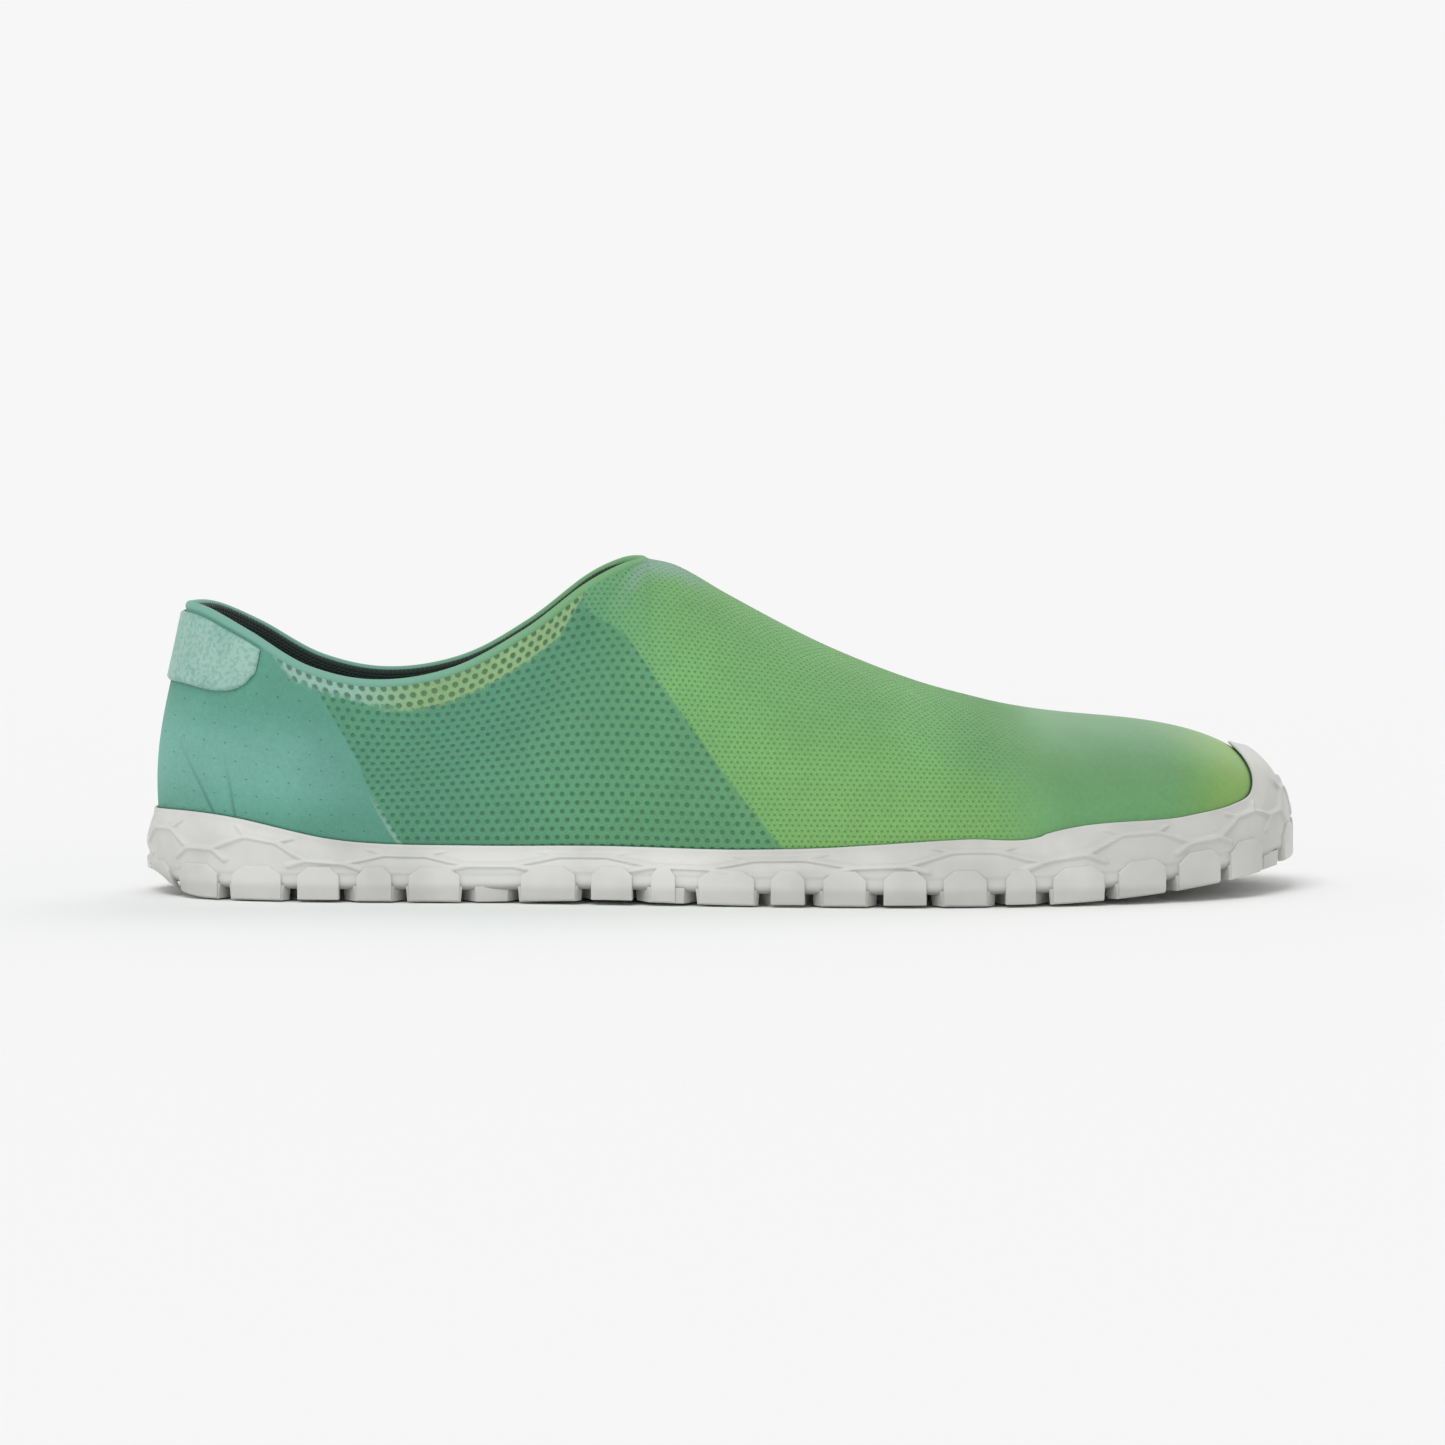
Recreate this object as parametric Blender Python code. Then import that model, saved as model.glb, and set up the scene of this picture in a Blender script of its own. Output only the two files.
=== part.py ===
"""Trail running shoe for the right foot: a moulded rubber cup sole with hexagonal lugs, a knitted slip-on
upper, a foam insole and a patch at the back of the heel.

Metres, +Z up, toe towards +X, outer (lateral) side towards -Y. The shoe is first laid out flat, with x
running from the back of the heel, then settled on its arch and toe spring, and at last centred on its box.

Every piece follows one surface, the outside of the upper. A place on it is a step round the edge (0 at
the back of the heel, STEPS at the tip of the toe, on to 2 * STEPS along the inner side) and a share of
the profile that climbs from the edge of the sole to the collar or to the ridge of the forefoot.
"""

import math

import bmesh
import bpy
import numpy as np

# Sole, seen from above
SOLE_LENGTH = 0.268
HEEL_WIDTH = 0.071
WAIST_WIDTH = 0.078
BALL_WIDTH = 0.099

# Sole, seen from the side
LUG_DEPTH = 0.003
BASE_THICKNESS = 0.0025
SOLE_WALL = 0.0030
LIP_THICKNESS = 0.0017
EDGE_ROUND = 0.0012
HEEL_LIP = 0.0135
WAIST_LIP = 0.0068
BALL_LIP = 0.0100
TOE_GUARD_REACH = 0.0268
TOE_SPRING = 0.0070
ARCH_RISE = 0.0016
HEEL_BEVEL_LENGTH = 0.016
HEEL_BEVEL_RISE = 0.0042
HEEL_BEVEL_SET_IN = 0.0035

# Lugs and the relief on the side of the sole
LUG_SIDE = 0.0090
LUG_GAP = 0.0026
LUG_PROUD = 0.0004
LUG_BURY = 0.0010
LUG_RELIEF = 0.0004
BLOCK_PROUD = 0.0009
BLOCK_BURY = 0.0010
BLOCK_FOOT = 0.0007
BLOCK_TOP = 0.0082
BLOCK_LENGTH_LEAST = 0.0040
BLOCK_SET_BACK = 0.0005
RIB_WIDTH = 0.0012
RIB_SLOPE = 0.0006
RIB_HEIGHT = 0.0005

# Upper
FIT = 0.0003
UPPER_WALL = 0.0018
RIM_WALL = 0.0026
RIM_ROUND = 0.0008
INSTEP_HEIGHT = 0.077
TOE_BOX_HEIGHT = 0.0395
COLLAR_BACK = 0.067
COLLAR_LOW = 0.050
COLLAR_WIDTH = 0.059
COLLAR_LENGTH = 0.108
COLLAR_SET_IN = 0.0085
COLLAR_LEAN = math.radians(11)
COLLAR_BAND = 0.008
UPPER_BULGE = 0.0025

# Insole and heel patch
INSOLE_THICKNESS = 0.0030
INSOLE_FIT = 0.0004
PATCH_DEPTH = 0.0165
PATCH_REACH = 0.0360
PATCH_THICKNESS = 0.0008
PATCH_BELOW_RIM = 0.0012

# Steps round one side of the edge, and rows up the profile
STEPS = 36
THROAT_STEP = 16
POLE_STEP = 28
CUP_ROWS = 4
FREE_ROWS = 7
FLOOR_RINGS = 2
INSOLE_RINGS = 1
PATCH_COLUMNS = 15
PATCH_ROWS = 5

# How much closer together the steps are at the heel and the toe than between them
STEP_CROWDING = 0.30

FLOOR = LUG_DEPTH + BASE_THICKNESS
EDGE_LEVEL = FLOOR + FIT
FEATHER_INSET = SOLE_WALL + FIT
RIDGE_START = COLLAR_SET_IN + COLLAR_LENGTH

# Outline of the sole: share of the length, the width in charge there, and shares of half of it
OUTLINE = (
    # along, width, lateral, medial
    (0.000, HEEL_WIDTH, 0.00, 0.00),
    (0.020, HEEL_WIDTH, 0.48, 0.48),
    (0.060, HEEL_WIDTH, 0.77, 0.76),
    (0.120, HEEL_WIDTH, 0.94, 0.93),
    (0.190, HEEL_WIDTH, 1.01, 0.99),
    (0.280, HEEL_WIDTH, 1.05, 0.97),
    (0.360, WAIST_WIDTH, 1.03, 0.86),
    (0.440, WAIST_WIDTH, 1.13, 0.87),
    (0.520, BALL_WIDTH, 0.96, 0.74),
    (0.600, BALL_WIDTH, 1.01, 0.86),
    (0.680, BALL_WIDTH, 1.02, 0.96),
    (0.740, BALL_WIDTH, 0.99, 1.01),
    (0.800, BALL_WIDTH, 0.92, 1.01),
    (0.860, BALL_WIDTH, 0.80, 0.96),
    (0.910, BALL_WIDTH, 0.65, 0.89),
    (0.950, BALL_WIDTH, 0.46, 0.80),
    (0.980, BALL_WIDTH, 0.20, 0.66),
    (1.000, BALL_WIDTH, -0.28, 0.28),
)

# Edge of the collar: share of its length from the back, share of half its width, height above the floor
RIM = (
    # along, half_width, height
    (0.00, 0.00, COLLAR_BACK),
    (0.05, 0.54, COLLAR_BACK * 0.985),
    (0.14, 0.83, COLLAR_BACK * 0.915),
    (0.28, 0.99, COLLAR_LOW * 1.06),
    (0.42, 1.00, COLLAR_LOW),
    (0.58, 0.96, COLLAR_LOW * 1.05),
    (0.74, 0.86, COLLAR_LOW * 1.22),
    (0.87, 0.71, INSTEP_HEIGHT * 0.920),
    (0.95, 0.50, INSTEP_HEIGHT * 0.980),
    (0.99, 0.25, INSTEP_HEIGHT * 0.998),
    (1.00, 0.00, INSTEP_HEIGHT),
)

# Ridge of the forefoot, from the front of the collar to the pole of the toe
RIDGE = (
    # along, sideways, height
    (0.00, 0.00, INSTEP_HEIGHT),
    (0.06, 0.02, INSTEP_HEIGHT * 0.984),
    (0.17, 0.06, INSTEP_HEIGHT * 0.905),
    (0.36, 0.18, INSTEP_HEIGHT * 0.765),
    (0.57, 0.38, TOE_BOX_HEIGHT * 1.255),
    (0.78, 0.70, TOE_BOX_HEIGHT * 1.100),
    (1.00, 1.00, TOE_BOX_HEIGHT),
)
POLE_ALONG = 0.835
POLE_SIDEWAYS = 0.20

# Profile of the upper: how far it rises from the edge before it turns, how far the crown reaches out
# before it falls, both as shares of the profile's own height or width, and the swell over the edge
SECTIONS = (
    # along, rise, crown, bulge
    (0.00, 0.46, 0.45, UPPER_BULGE * 1.80),
    (0.12, 0.46, 0.44, UPPER_BULGE * 1.60),
    (0.22, 0.46, 0.42, UPPER_BULGE * 1.20),
    (0.36, 0.44, 0.46, UPPER_BULGE),
    (0.44, 0.45, 0.56, UPPER_BULGE * 0.80),
    (0.58, 0.50, 0.58, UPPER_BULGE * 0.80),
    (0.72, 0.56, 0.58, UPPER_BULGE * 0.80),
    (0.86, 0.60, 0.60, UPPER_BULGE * 0.60),
    (1.00, 0.60, 0.60, UPPER_BULGE * 0.40),
)

# Top edge of the sole, measured up the upper from the edge of the floor
LIP = (
    # along, reach
    (0.00, HEEL_LIP),
    (0.14, HEEL_LIP),
    (0.25, WAIST_LIP * 1.15),
    (0.34, WAIST_LIP),
    (0.52, WAIST_LIP),
    (0.62, BALL_LIP * 0.90),
    (0.78, BALL_LIP * 1.04),
    (0.84, BALL_LIP * 1.08),
    (0.88, BALL_LIP * 1.22),
    (0.91, TOE_GUARD_REACH * 0.605),
    (0.94, TOE_GUARD_REACH * 0.806),
    (0.965, TOE_GUARD_REACH * 0.933),
    (0.985, TOE_GUARD_REACH * 0.985),
    (1.00, TOE_GUARD_REACH),
)

# Arch and toe spring, as shares of the sole's length
ARCH_FROM, ARCH_TO = 0.28, 0.525
ARCH_LATERAL_SHARE = 0.35
TOE_BEND_FROM = 0.735

# Stretches of the sole, as shares of its length, where heel and ball bear on the floor
STANCES = ((0.06, 0.281), (0.52, 0.735))

# Zigzag of the rib: its place on the wall at four steps in turn, as a share of the wall's height, which
# for the rib counts as no more than the heel's
RIB_PLACES = (0.46, 0.46, 0.76, 0.76)
RIB_TOP_SHARE = 0.96

# Top of a side block: share of its length, and share of its height above the edge of the floor
BLOCK_TOPS = ((0.00, 0.30), (0.24, 1.00), (0.76, 1.00), (1.00, 0.30))

# Ends of the middle line that floor and insole close on, as shares of the sole's length
SPINE_FROM, SPINE_TO = 0.13, 0.86

# Steps over which the collar's wall turns into the rounded vamp
COLLAR_FADE_STEPS = 4
RIM_FADE_STEPS = 3

# Smallest part of a lug that is kept at the edge, the least that counts as whole, and how squarely the
# patch's corners turn
LEAST_LUG_SHARE = 0.22
WHOLE_LUG_SHARE = 0.98
PATCH_CORNER_POWER = 5
PATCH_END_SHARE = 0.35

# Spacing, in steps, of the edge's points where it cuts lugs, and of trial points where lugs meet it
LUG_BORDER_STEP = 1.0
TRIAL_STEP = 0.02
NUDGE = 1e-3
MERGE = 1e-6

COLOURS = {
    # piece: red, green, blue, roughness
    "outsole": (0.62, 0.62, 0.61, 0.55),
    "upper": (0.13, 0.37, 0.20, 0.75),
    "insole": (0.04, 0.06, 0.05, 0.90),
    "heel_patch": (0.30, 0.50, 0.43, 0.70),
}


def curve(xs, ys, at):
    """Smooth curve through rows, as a cubic with the slopes of the chords about each row."""
    xs, ys, at = (np.asarray(v, float) for v in (xs, ys, at))
    chords = np.diff(ys) / np.diff(xs)
    slopes = np.concatenate([chords[:1], (chords[1:] + chords[:-1]) / 2, chords[-1:]])
    cell = np.clip(np.searchsorted(xs, at, side="right") - 1, 0, len(xs) - 2)
    span = xs[cell + 1] - xs[cell]
    u = np.clip((at - xs[cell]) / span, 0, 1)
    return (
        ys[cell] * (1 + 2 * u) * (1 - u) ** 2
        + ys[cell + 1] * u * u * (3 - 2 * u)
        + slopes[cell] * span * u * (1 - u) ** 2
        - slopes[cell + 1] * span * u * u * (1 - u)
    )


def round_end_angle(share):
    """Angle whose cosine gives this share of a length, so that a table can close in a round end."""
    return np.arccos(1 - 2 * np.asarray(share, float))


def ease(u):
    """Smooth step from 0 to 1."""
    u = np.clip(u, 0, 1)
    return u * u * (3 - 2 * u)


def unit(vectors):
    return vectors / np.maximum(np.linalg.norm(vectors, axis=-1, keepdims=True), 1e-12)


def even_angles(points, shares, angles):
    """Angles that cut the polyline of points at the given shares of its length."""
    steps = np.linalg.norm(np.diff(points, axis=0), axis=1)
    run = np.concatenate([[0], np.cumsum(steps)])
    return np.interp(shares, run / run[-1], angles)


def outline_at(angles, lateral):
    """Edge of the sole in plan, for angles from 0 at the heel to pi at the toe."""
    rows = np.array(OUTLINE)
    share = curve(round_end_angle(rows[:, 0]), rows[:, 1] / 2 * rows[:, 2 if lateral else 3], angles)
    return np.stack([SOLE_LENGTH * (1 - np.cos(angles)) / 2, -share if lateral else share], axis=-1)


def side_outline(shares, lateral):
    """Points of one side of the sole's edge at shares of that side's length, and the normals there."""
    dense = np.linspace(0, math.pi, 721)
    angles = even_angles(outline_at(dense, lateral), shares, dense)
    low, high = np.clip(angles - NUDGE, 0, math.pi), np.clip(angles + NUDGE, 0, math.pi)
    along = unit(outline_at(high, lateral) - outline_at(low, lateral))
    tip = np.isclose(angles, 0) | np.isclose(angles, math.pi)
    turned = np.stack([along[..., 1], -along[..., 0]], axis=-1) * (1 if lateral else -1)
    ends = np.stack([np.where(angles > 1, 1.0, -1.0), np.zeros_like(angles)], axis=-1)
    return outline_at(angles, lateral), np.where(tip[..., None], ends, turned)


def fold(steps):
    """Steps round the whole edge, as steps of one side and whether that side is the lateral one."""
    steps = np.mod(np.asarray(steps, float), 2 * STEPS)
    lateral = steps <= STEPS
    return np.where(lateral, steps, 2 * STEPS - steps), lateral


def edge_line(steps, outset=0.0):
    """Edge of the sole, set out by outset along its normals, with the normals, both in plan."""
    side_steps, lateral = fold(steps)
    share = side_steps / STEPS
    share = share - STEP_CROWDING * np.sin(2 * math.pi * share) / (2 * math.pi)
    points = np.empty(share.shape + (2,))
    normals = np.empty(share.shape + (2,))
    for side in (True, False):
        chosen = lateral == side
        points[chosen], normals[chosen] = side_outline(share[chosen], side)
    return points + normals * outset, normals


def rim_at(angles):
    rows = np.array(RIM)
    at = round_end_angle(rows[:, 0])
    return np.stack(
        [
            COLLAR_SET_IN + COLLAR_LENGTH * (1 - np.cos(angles)) / 2,
            -COLLAR_WIDTH / 2 * curve(at, rows[:, 1], angles),
            curve(at, rows[:, 2], angles),
        ],
        axis=-1,
    )


def top_line(steps):
    """Where the profiles end: the edge of the collar, the ridge of the forefoot, then its pole."""
    side_steps, lateral = fold(steps)
    dense = np.linspace(0, math.pi, 361)
    on_rim = np.clip(side_steps / THROAT_STEP, 0, 1)
    rim = rim_at(even_angles(rim_at(dense), on_rim, dense))
    on_ridge = np.clip((side_steps - THROAT_STEP) / (POLE_STEP - THROAT_STEP), 0, 1)
    rows = np.array(RIDGE)
    ridge = np.stack(
        [
            RIDGE_START + (POLE_ALONG * SOLE_LENGTH - RIDGE_START) * on_ridge,
            POLE_SIDEWAYS * BALL_WIDTH / 2 * curve(rows[:, 0], rows[:, 1], on_ridge),
            curve(rows[:, 0], rows[:, 2], on_ridge),
        ],
        axis=-1,
    )
    rim[..., 1] *= np.where(lateral, 1, -1)
    return np.where((side_steps < THROAT_STEP)[..., None], rim, ridge)


def ridge_slopes(side_steps):
    """Slope of the ridge along the shoe, which keeps its last value past the pole."""
    rows = np.array(RIDGE)
    at = np.clip((side_steps - THROAT_STEP) / (POLE_STEP - THROAT_STEP), 0, 1 - NUDGE)
    rise = curve(rows[:, 0], rows[:, 2], at + NUDGE) - curve(rows[:, 0], rows[:, 2], at)
    return rise / (NUDGE * (POLE_ALONG * SOLE_LENGTH - RIDGE_START))


def upper_surface(steps, climbs):
    """Outside of the upper, at steps round the edge and climbs from 0 at the edge to 1 at the top."""
    steps, climbs = np.broadcast_arrays(np.asarray(steps, float), np.asarray(climbs, float))
    side_steps, _ = fold(steps)
    plan, normal = edge_line(steps, -FEATHER_INSET)
    foot = np.concatenate([plan, np.full(plan.shape[:-1] + (1,), EDGE_LEVEL)], axis=-1)
    out = np.concatenate([normal, np.zeros(normal.shape[:-1] + (1,))], axis=-1)
    top = top_line(steps)
    up = np.array([0.0, 0.0, 1.0])
    rows = np.array(SECTIONS)
    rise, crown, bulge = (curve(rows[:, 0], rows[:, i], side_steps / STEPS)[..., None] for i in (1, 2, 3))
    height = (top[..., 2:] - foot[..., 2:])
    across = foot - top
    across[..., 2] = 0
    reach = np.linalg.norm(across, axis=-1, keepdims=True)
    fall = unit(across) + up * ridge_slopes(side_steps)[..., None] * unit(across)[..., :1]
    over = fall * crown * reach
    down = (out * math.sin(COLLAR_LEAN) - up * math.cos(COLLAR_LEAN)) * crown * height
    at_collar = ease((THROAT_STEP - side_steps) / COLLAR_FADE_STEPS)[..., None]
    first = foot + up * rise * height + out * bulge
    last = top + over * (1 - at_collar) + down * at_collar
    c = climbs[..., None]
    return foot * (1 - c) ** 3 + 3 * first * c * (1 - c) ** 2 + 3 * last * c * c * (1 - c) + top * c**3


def upper_normals(steps, climbs):
    """Directions square to the upper, pointing out of the shoe."""
    climbs = np.clip(climbs, 0, 1 - 2 * NUDGE)
    round_edge = upper_surface(steps + NUDGE, climbs) - upper_surface(steps - NUDGE, climbs)
    up_profile = upper_surface(steps, climbs + NUDGE) - upper_surface(steps, np.maximum(climbs - NUDGE, 0))
    return unit(np.cross(round_edge, up_profile))


def off_upper(steps, climbs, distance):
    """Point at a distance outside the upper's surface, or inside it where distance is negative."""
    steps, climbs = np.broadcast_arrays(np.asarray(steps, float), np.asarray(climbs, float))
    distance = np.broadcast_to(distance, steps.shape)[..., None]
    return upper_surface(steps, climbs) + upper_normals(steps, climbs) * distance


def climb_at(steps, reach):
    """Climb at which the profile has run this far from the edge, with what is left up to its top."""
    dense = np.linspace(0, 1, 61)
    climbs, left = [], []
    for step, length in zip(np.atleast_1d(steps), np.broadcast_to(reach, np.shape(np.atleast_1d(steps)))):
        path = upper_surface(np.full(dense.shape, step), dense)
        run = np.concatenate([[0], np.cumsum(np.linalg.norm(np.diff(path, axis=0), axis=1))])
        climbs.append(np.interp(length, run, dense))
        left.append(run[-1] - length)
    return np.array(climbs), np.array(left)


def lip_reach(steps):
    rows = np.array(LIP)
    return curve(rows[:, 0], rows[:, 1], fold(steps)[0] / STEPS)


def settle(points, underside=False):
    """Lift the arch and the toe, and on the sole's underside bevel the back of the heel."""
    points = np.array(points, float)
    x, y = points[:, 0].copy(), points[:, 1]
    if underside:
        under = np.clip(1 - points[:, 2] / FLOOR, 0, 1)
        back = np.clip(1 - x / HEEL_BEVEL_LENGTH, 0, 1) ** 2
        points[:, 0] += HEEL_BEVEL_SET_IN * back * under
        points[:, 2] += HEEL_BEVEL_RISE * back * under
    share = x / SOLE_LENGTH
    in_arch = np.clip((share - ARCH_FROM) / (ARCH_TO - ARCH_FROM), 0, 1)
    towards_inner = ease(0.5 + y / WAIST_WIDTH)
    arch = np.sin(math.pi * in_arch) ** 2 * (
        ARCH_LATERAL_SHARE + (1 - ARCH_LATERAL_SHARE) * towards_inner
    )
    bend = np.clip((share - TOE_BEND_FROM) / (1 - TOE_BEND_FROM), 0, None)
    points[:, 2] += ARCH_RISE * arch + TOE_SPRING * bend**2
    return points


def spine(rim_points):
    """Middle line under a ring of points, one point for each, held back from the heel and the toe."""
    middle = (rim_points + rim_points[-np.arange(len(rim_points))]) / 2
    order = np.argsort(middle[: STEPS + 1, 0])
    held = np.clip(middle[:, 0], SPINE_FROM * SOLE_LENGTH, SPINE_TO * SOLE_LENGTH)
    sideways = np.interp(held, middle[order, 0], middle[order, 1])
    return np.stack([held, sideways, rim_points[:, 2]], axis=-1)


def mesh_object(name, vertices, faces):
    """Closed solid from points and faces, with doubled points merged and its faces turned outwards."""
    mesh = bpy.data.meshes.new(name)
    mesh.from_pydata([tuple(v) for v in vertices], [], faces)
    bm = bmesh.new()
    bm.from_mesh(mesh)
    bmesh.ops.remove_doubles(bm, verts=bm.verts, dist=MERGE)
    bmesh.ops.dissolve_degenerate(bm, edges=bm.edges, dist=MERGE)
    bmesh.ops.recalc_face_normals(bm, faces=bm.faces)
    bm.to_mesh(mesh)
    bm.free()
    obj = bpy.data.objects.new(name, mesh)
    bpy.context.scene.collection.objects.link(obj)
    return obj


def ring_faces(count, first, second, steps=None):
    """Faces between two rings of points that start at the indices first and second."""
    chosen = range(count) if steps is None else steps
    return [(first + k, first + (k + 1) % count, second + (k + 1) % count, second + k) for k in chosen]


def skin(name, rings):
    """Solid whose skin runs from ring to ring; the first and the last ring close on a middle line."""
    count = len(rings[0])
    faces = [f for i in range(len(rings) - 1) for f in ring_faces(count, i * count, (i + 1) * count)]
    return mesh_object(name, np.concatenate(rings), faces)


def profile_rows(steps):
    """Climbs of the rows for each step: the rows inside the sole's cup, then those above its lip."""
    lip, _ = climb_at(steps, lip_reach(steps))
    cup = [lip * i / CUP_ROWS for i in range(CUP_ROWS + 1)]
    free = [lip + (1 - lip) * i / FREE_ROWS for i in range(1, FREE_ROWS + 1)]
    return cup + free


def make_upper():
    """One knitted wall, open at the collar and all along underneath."""
    steps = np.arange(2 * STEPS, dtype=float)
    side_steps, _ = fold(steps)
    rows = profile_rows(steps)
    outer = [off_upper(steps, row, 0.0) for row in rows]
    at_collar = ease((THROAT_STEP + 1 - side_steps) / RIM_FADE_STEPS)
    _, length = climb_at(steps, 0.0)
    inner = []
    for row in rows:
        in_band = ease(1 - (1 - row) * length / COLLAR_BAND)
        inner.append(off_upper(steps, row, -UPPER_WALL - (RIM_WALL - UPPER_WALL) * in_band * at_collar))
    partner = -np.arange(len(steps))
    closed = side_steps >= THROAT_STEP
    inner[-1][closed] = ((inner[-1] + inner[-1][partner]) / 2)[closed]
    fan = side_steps >= POLE_STEP
    inner[-1][fan] = inner[-1][fan].mean(axis=0)
    inner[0][:, 2] = EDGE_LEVEL
    rim_top = (outer[-1] + inner[-1]) / 2 + np.array([0, 0, RIM_ROUND]) * at_collar[:, None]
    rings = [settle(ring) for ring in outer + [rim_top] + inner[::-1]]
    count = len(steps)
    behind_throat = side_steps < THROAT_STEP
    open_steps = [k for k in range(count) if behind_throat[k] or behind_throat[(k + 1) % count]]
    top = len(outer) - 1
    faces = []
    for i in range(len(rings)):
        chosen = open_steps if i in (top, top + 1) else None
        faces += ring_faces(count, i * count, (i + 1) % len(rings) * count, chosen)
    return mesh_object("upper", np.concatenate(rings), faces)


def wall_point(steps, share, proud=0.0):
    """Outside of the sole's wall, at a share of the way from the edge of the floor to the lip."""
    lip, _ = climb_at(steps, lip_reach(steps))
    share = np.broadcast_to(share, np.shape(steps))
    thick = SOLE_WALL + (LIP_THICKNESS - SOLE_WALL) * share
    return off_upper(steps, lip * share, FIT + thick + proud)


def at_level(plan, level):
    return np.concatenate([plan, np.full((len(plan), 1), level)], axis=1)


def floor_rings(edge, count=FLOOR_RINGS):
    """Rings that grow from the middle line out to an edge, without the edge itself."""
    middle = spine(edge)
    return [edge + (middle - edge) * i / count for i in range(count, 0, -1)]


def slope_share(length):
    """Distance from the rib's middle to the foot of its slope, as a share of the wall's height."""
    return (RIB_WIDTH / 2 + RIB_SLOPE) / length


def make_sole_body(steps):
    """Cup without its lugs: base, wall with a zigzag rib, lip and floor, still laid out flat."""
    length = lip_reach(steps)
    shares = np.array([RIB_PLACES[int(k) % len(RIB_PLACES)] for k in steps])
    rib_places = shares * np.minimum(length, HEEL_LIP) / length
    above_rib = np.minimum(rib_places + slope_share(length), RIB_TOP_SHARE)
    flat, slope = RIB_WIDTH / 2 / length, slope_share(length)
    corner, _ = edge_line(steps)
    under, _ = edge_line(steps, -EDGE_ROUND)
    bottom = at_level(under, LUG_DEPTH)
    lip, _ = climb_at(steps, lip_reach(steps))
    inside = [off_upper(steps, lip * i / CUP_ROWS, FIT) for i in range(CUP_ROWS, -1, -1)]
    inside[-1][:, 2] = FLOOR
    lip_outer = wall_point(steps, 1.0)
    lip_crown = (lip_outer + inside[0]) / 2 + upper_tangents(steps, lip) * EDGE_ROUND / 2
    rings = floor_rings(bottom) + [
        bottom,
        at_level(corner, LUG_DEPTH + EDGE_ROUND),
        wall_point(steps, rib_places - slope),
        wall_point(steps, rib_places - flat, RIB_HEIGHT),
        wall_point(steps, rib_places + flat, RIB_HEIGHT),
        wall_point(steps, above_rib),
        wall_point(steps, (above_rib + 1) / 2),
        lip_outer,
        lip_crown,
        *inside,
        *floor_rings(inside[-1])[::-1],
    ]
    return skin("outsole", rings)


def upper_tangents(steps, climbs):
    """Direction up the profile."""
    return unit(upper_surface(steps, climbs + NUDGE) - upper_surface(steps, climbs))


def hexagon(centre):
    """Corners of one lug, its flat sides along the shoe."""
    radius = LUG_SIDE - LUG_GAP / math.sqrt(3)
    return [centre + radius * np.array([math.cos(a), math.sin(a)]) for a in np.arange(6) * math.pi / 3]


def clip_to_hexagon(outline, corners):
    """Part of the outline inside the hexagon, cut by one side of it after another."""
    kept = list(outline)
    for a, b in zip(corners, corners[1:] + corners[:1]):
        inward = np.array([a[1] - b[1], b[0] - a[0]])
        depth = [float(np.dot(p - a, inward)) for p in kept]
        cut = []
        for i, p in enumerate(kept):
            q, dp, dq = kept[(i + 1) % len(kept)], depth[i], depth[(i + 1) % len(kept)]
            if dp >= 0:
                cut.append(p)
            if (dp >= 0) != (dq >= 0):
                cut.append(p + (q - p) * dp / (dp - dq))
        kept = cut
        if not kept:
            break
    return kept


def area(corners):
    x, y = np.array(corners).T
    return 0.5 * float(np.dot(x, np.roll(y, -1)) - np.dot(y, np.roll(x, -1)))


def lug_centres():
    """Honeycomb of lug centres that covers the sole."""
    pitch_x, pitch_y = 1.5 * LUG_SIDE, math.sqrt(3) * LUG_SIDE
    columns = int(SOLE_LENGTH / pitch_x) + 2
    rows = int(BALL_WIDTH / 2 / pitch_y) + 2
    for i in range(columns):
        for j in range(-rows, rows + 1):
            yield np.array([i * pitch_x, (j + 0.5 * (i % 2)) * pitch_y])


def stands(foot):
    """Whether a lug bears on the floor: a whole one under heel or ball, not at the rim or under the arch."""
    shares = [p[0] / SOLE_LENGTH for p in foot]
    whole = area(foot) > WHOLE_LUG_SHARE * area(hexagon(np.zeros(2)))
    return whole and any(low < min(shares) and max(shares) < high for low, high in STANCES)


def make_lugs():
    """Lugs as prisms that reach into the base, cut off where they would pass the sole's edge."""
    border, _ = edge_line(np.arange(0, 2 * STEPS, LUG_BORDER_STEP), LUG_PROUD)
    border = border if area(border) > 0 else border[::-1]
    least = LEAST_LUG_SHARE * area(hexagon(np.zeros(2)))
    vertices, faces = [], []
    for centre in lug_centres():
        foot = clip_to_hexagon(border, hexagon(centre))
        if len(foot) < 3 or area(foot) < least:
            continue
        start, count = len(vertices), len(foot)
        for level in (0.0 if stands(foot) else LUG_RELIEF, LUG_DEPTH + LUG_BURY):
            vertices += [(p[0], p[1], level) for p in foot]
        faces += ring_faces(count, start, start + count)
        faces += [tuple(range(start, start + count)), tuple(range(start + count, start + 2 * count))]
    return mesh_object("lugs", vertices, faces)


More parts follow.
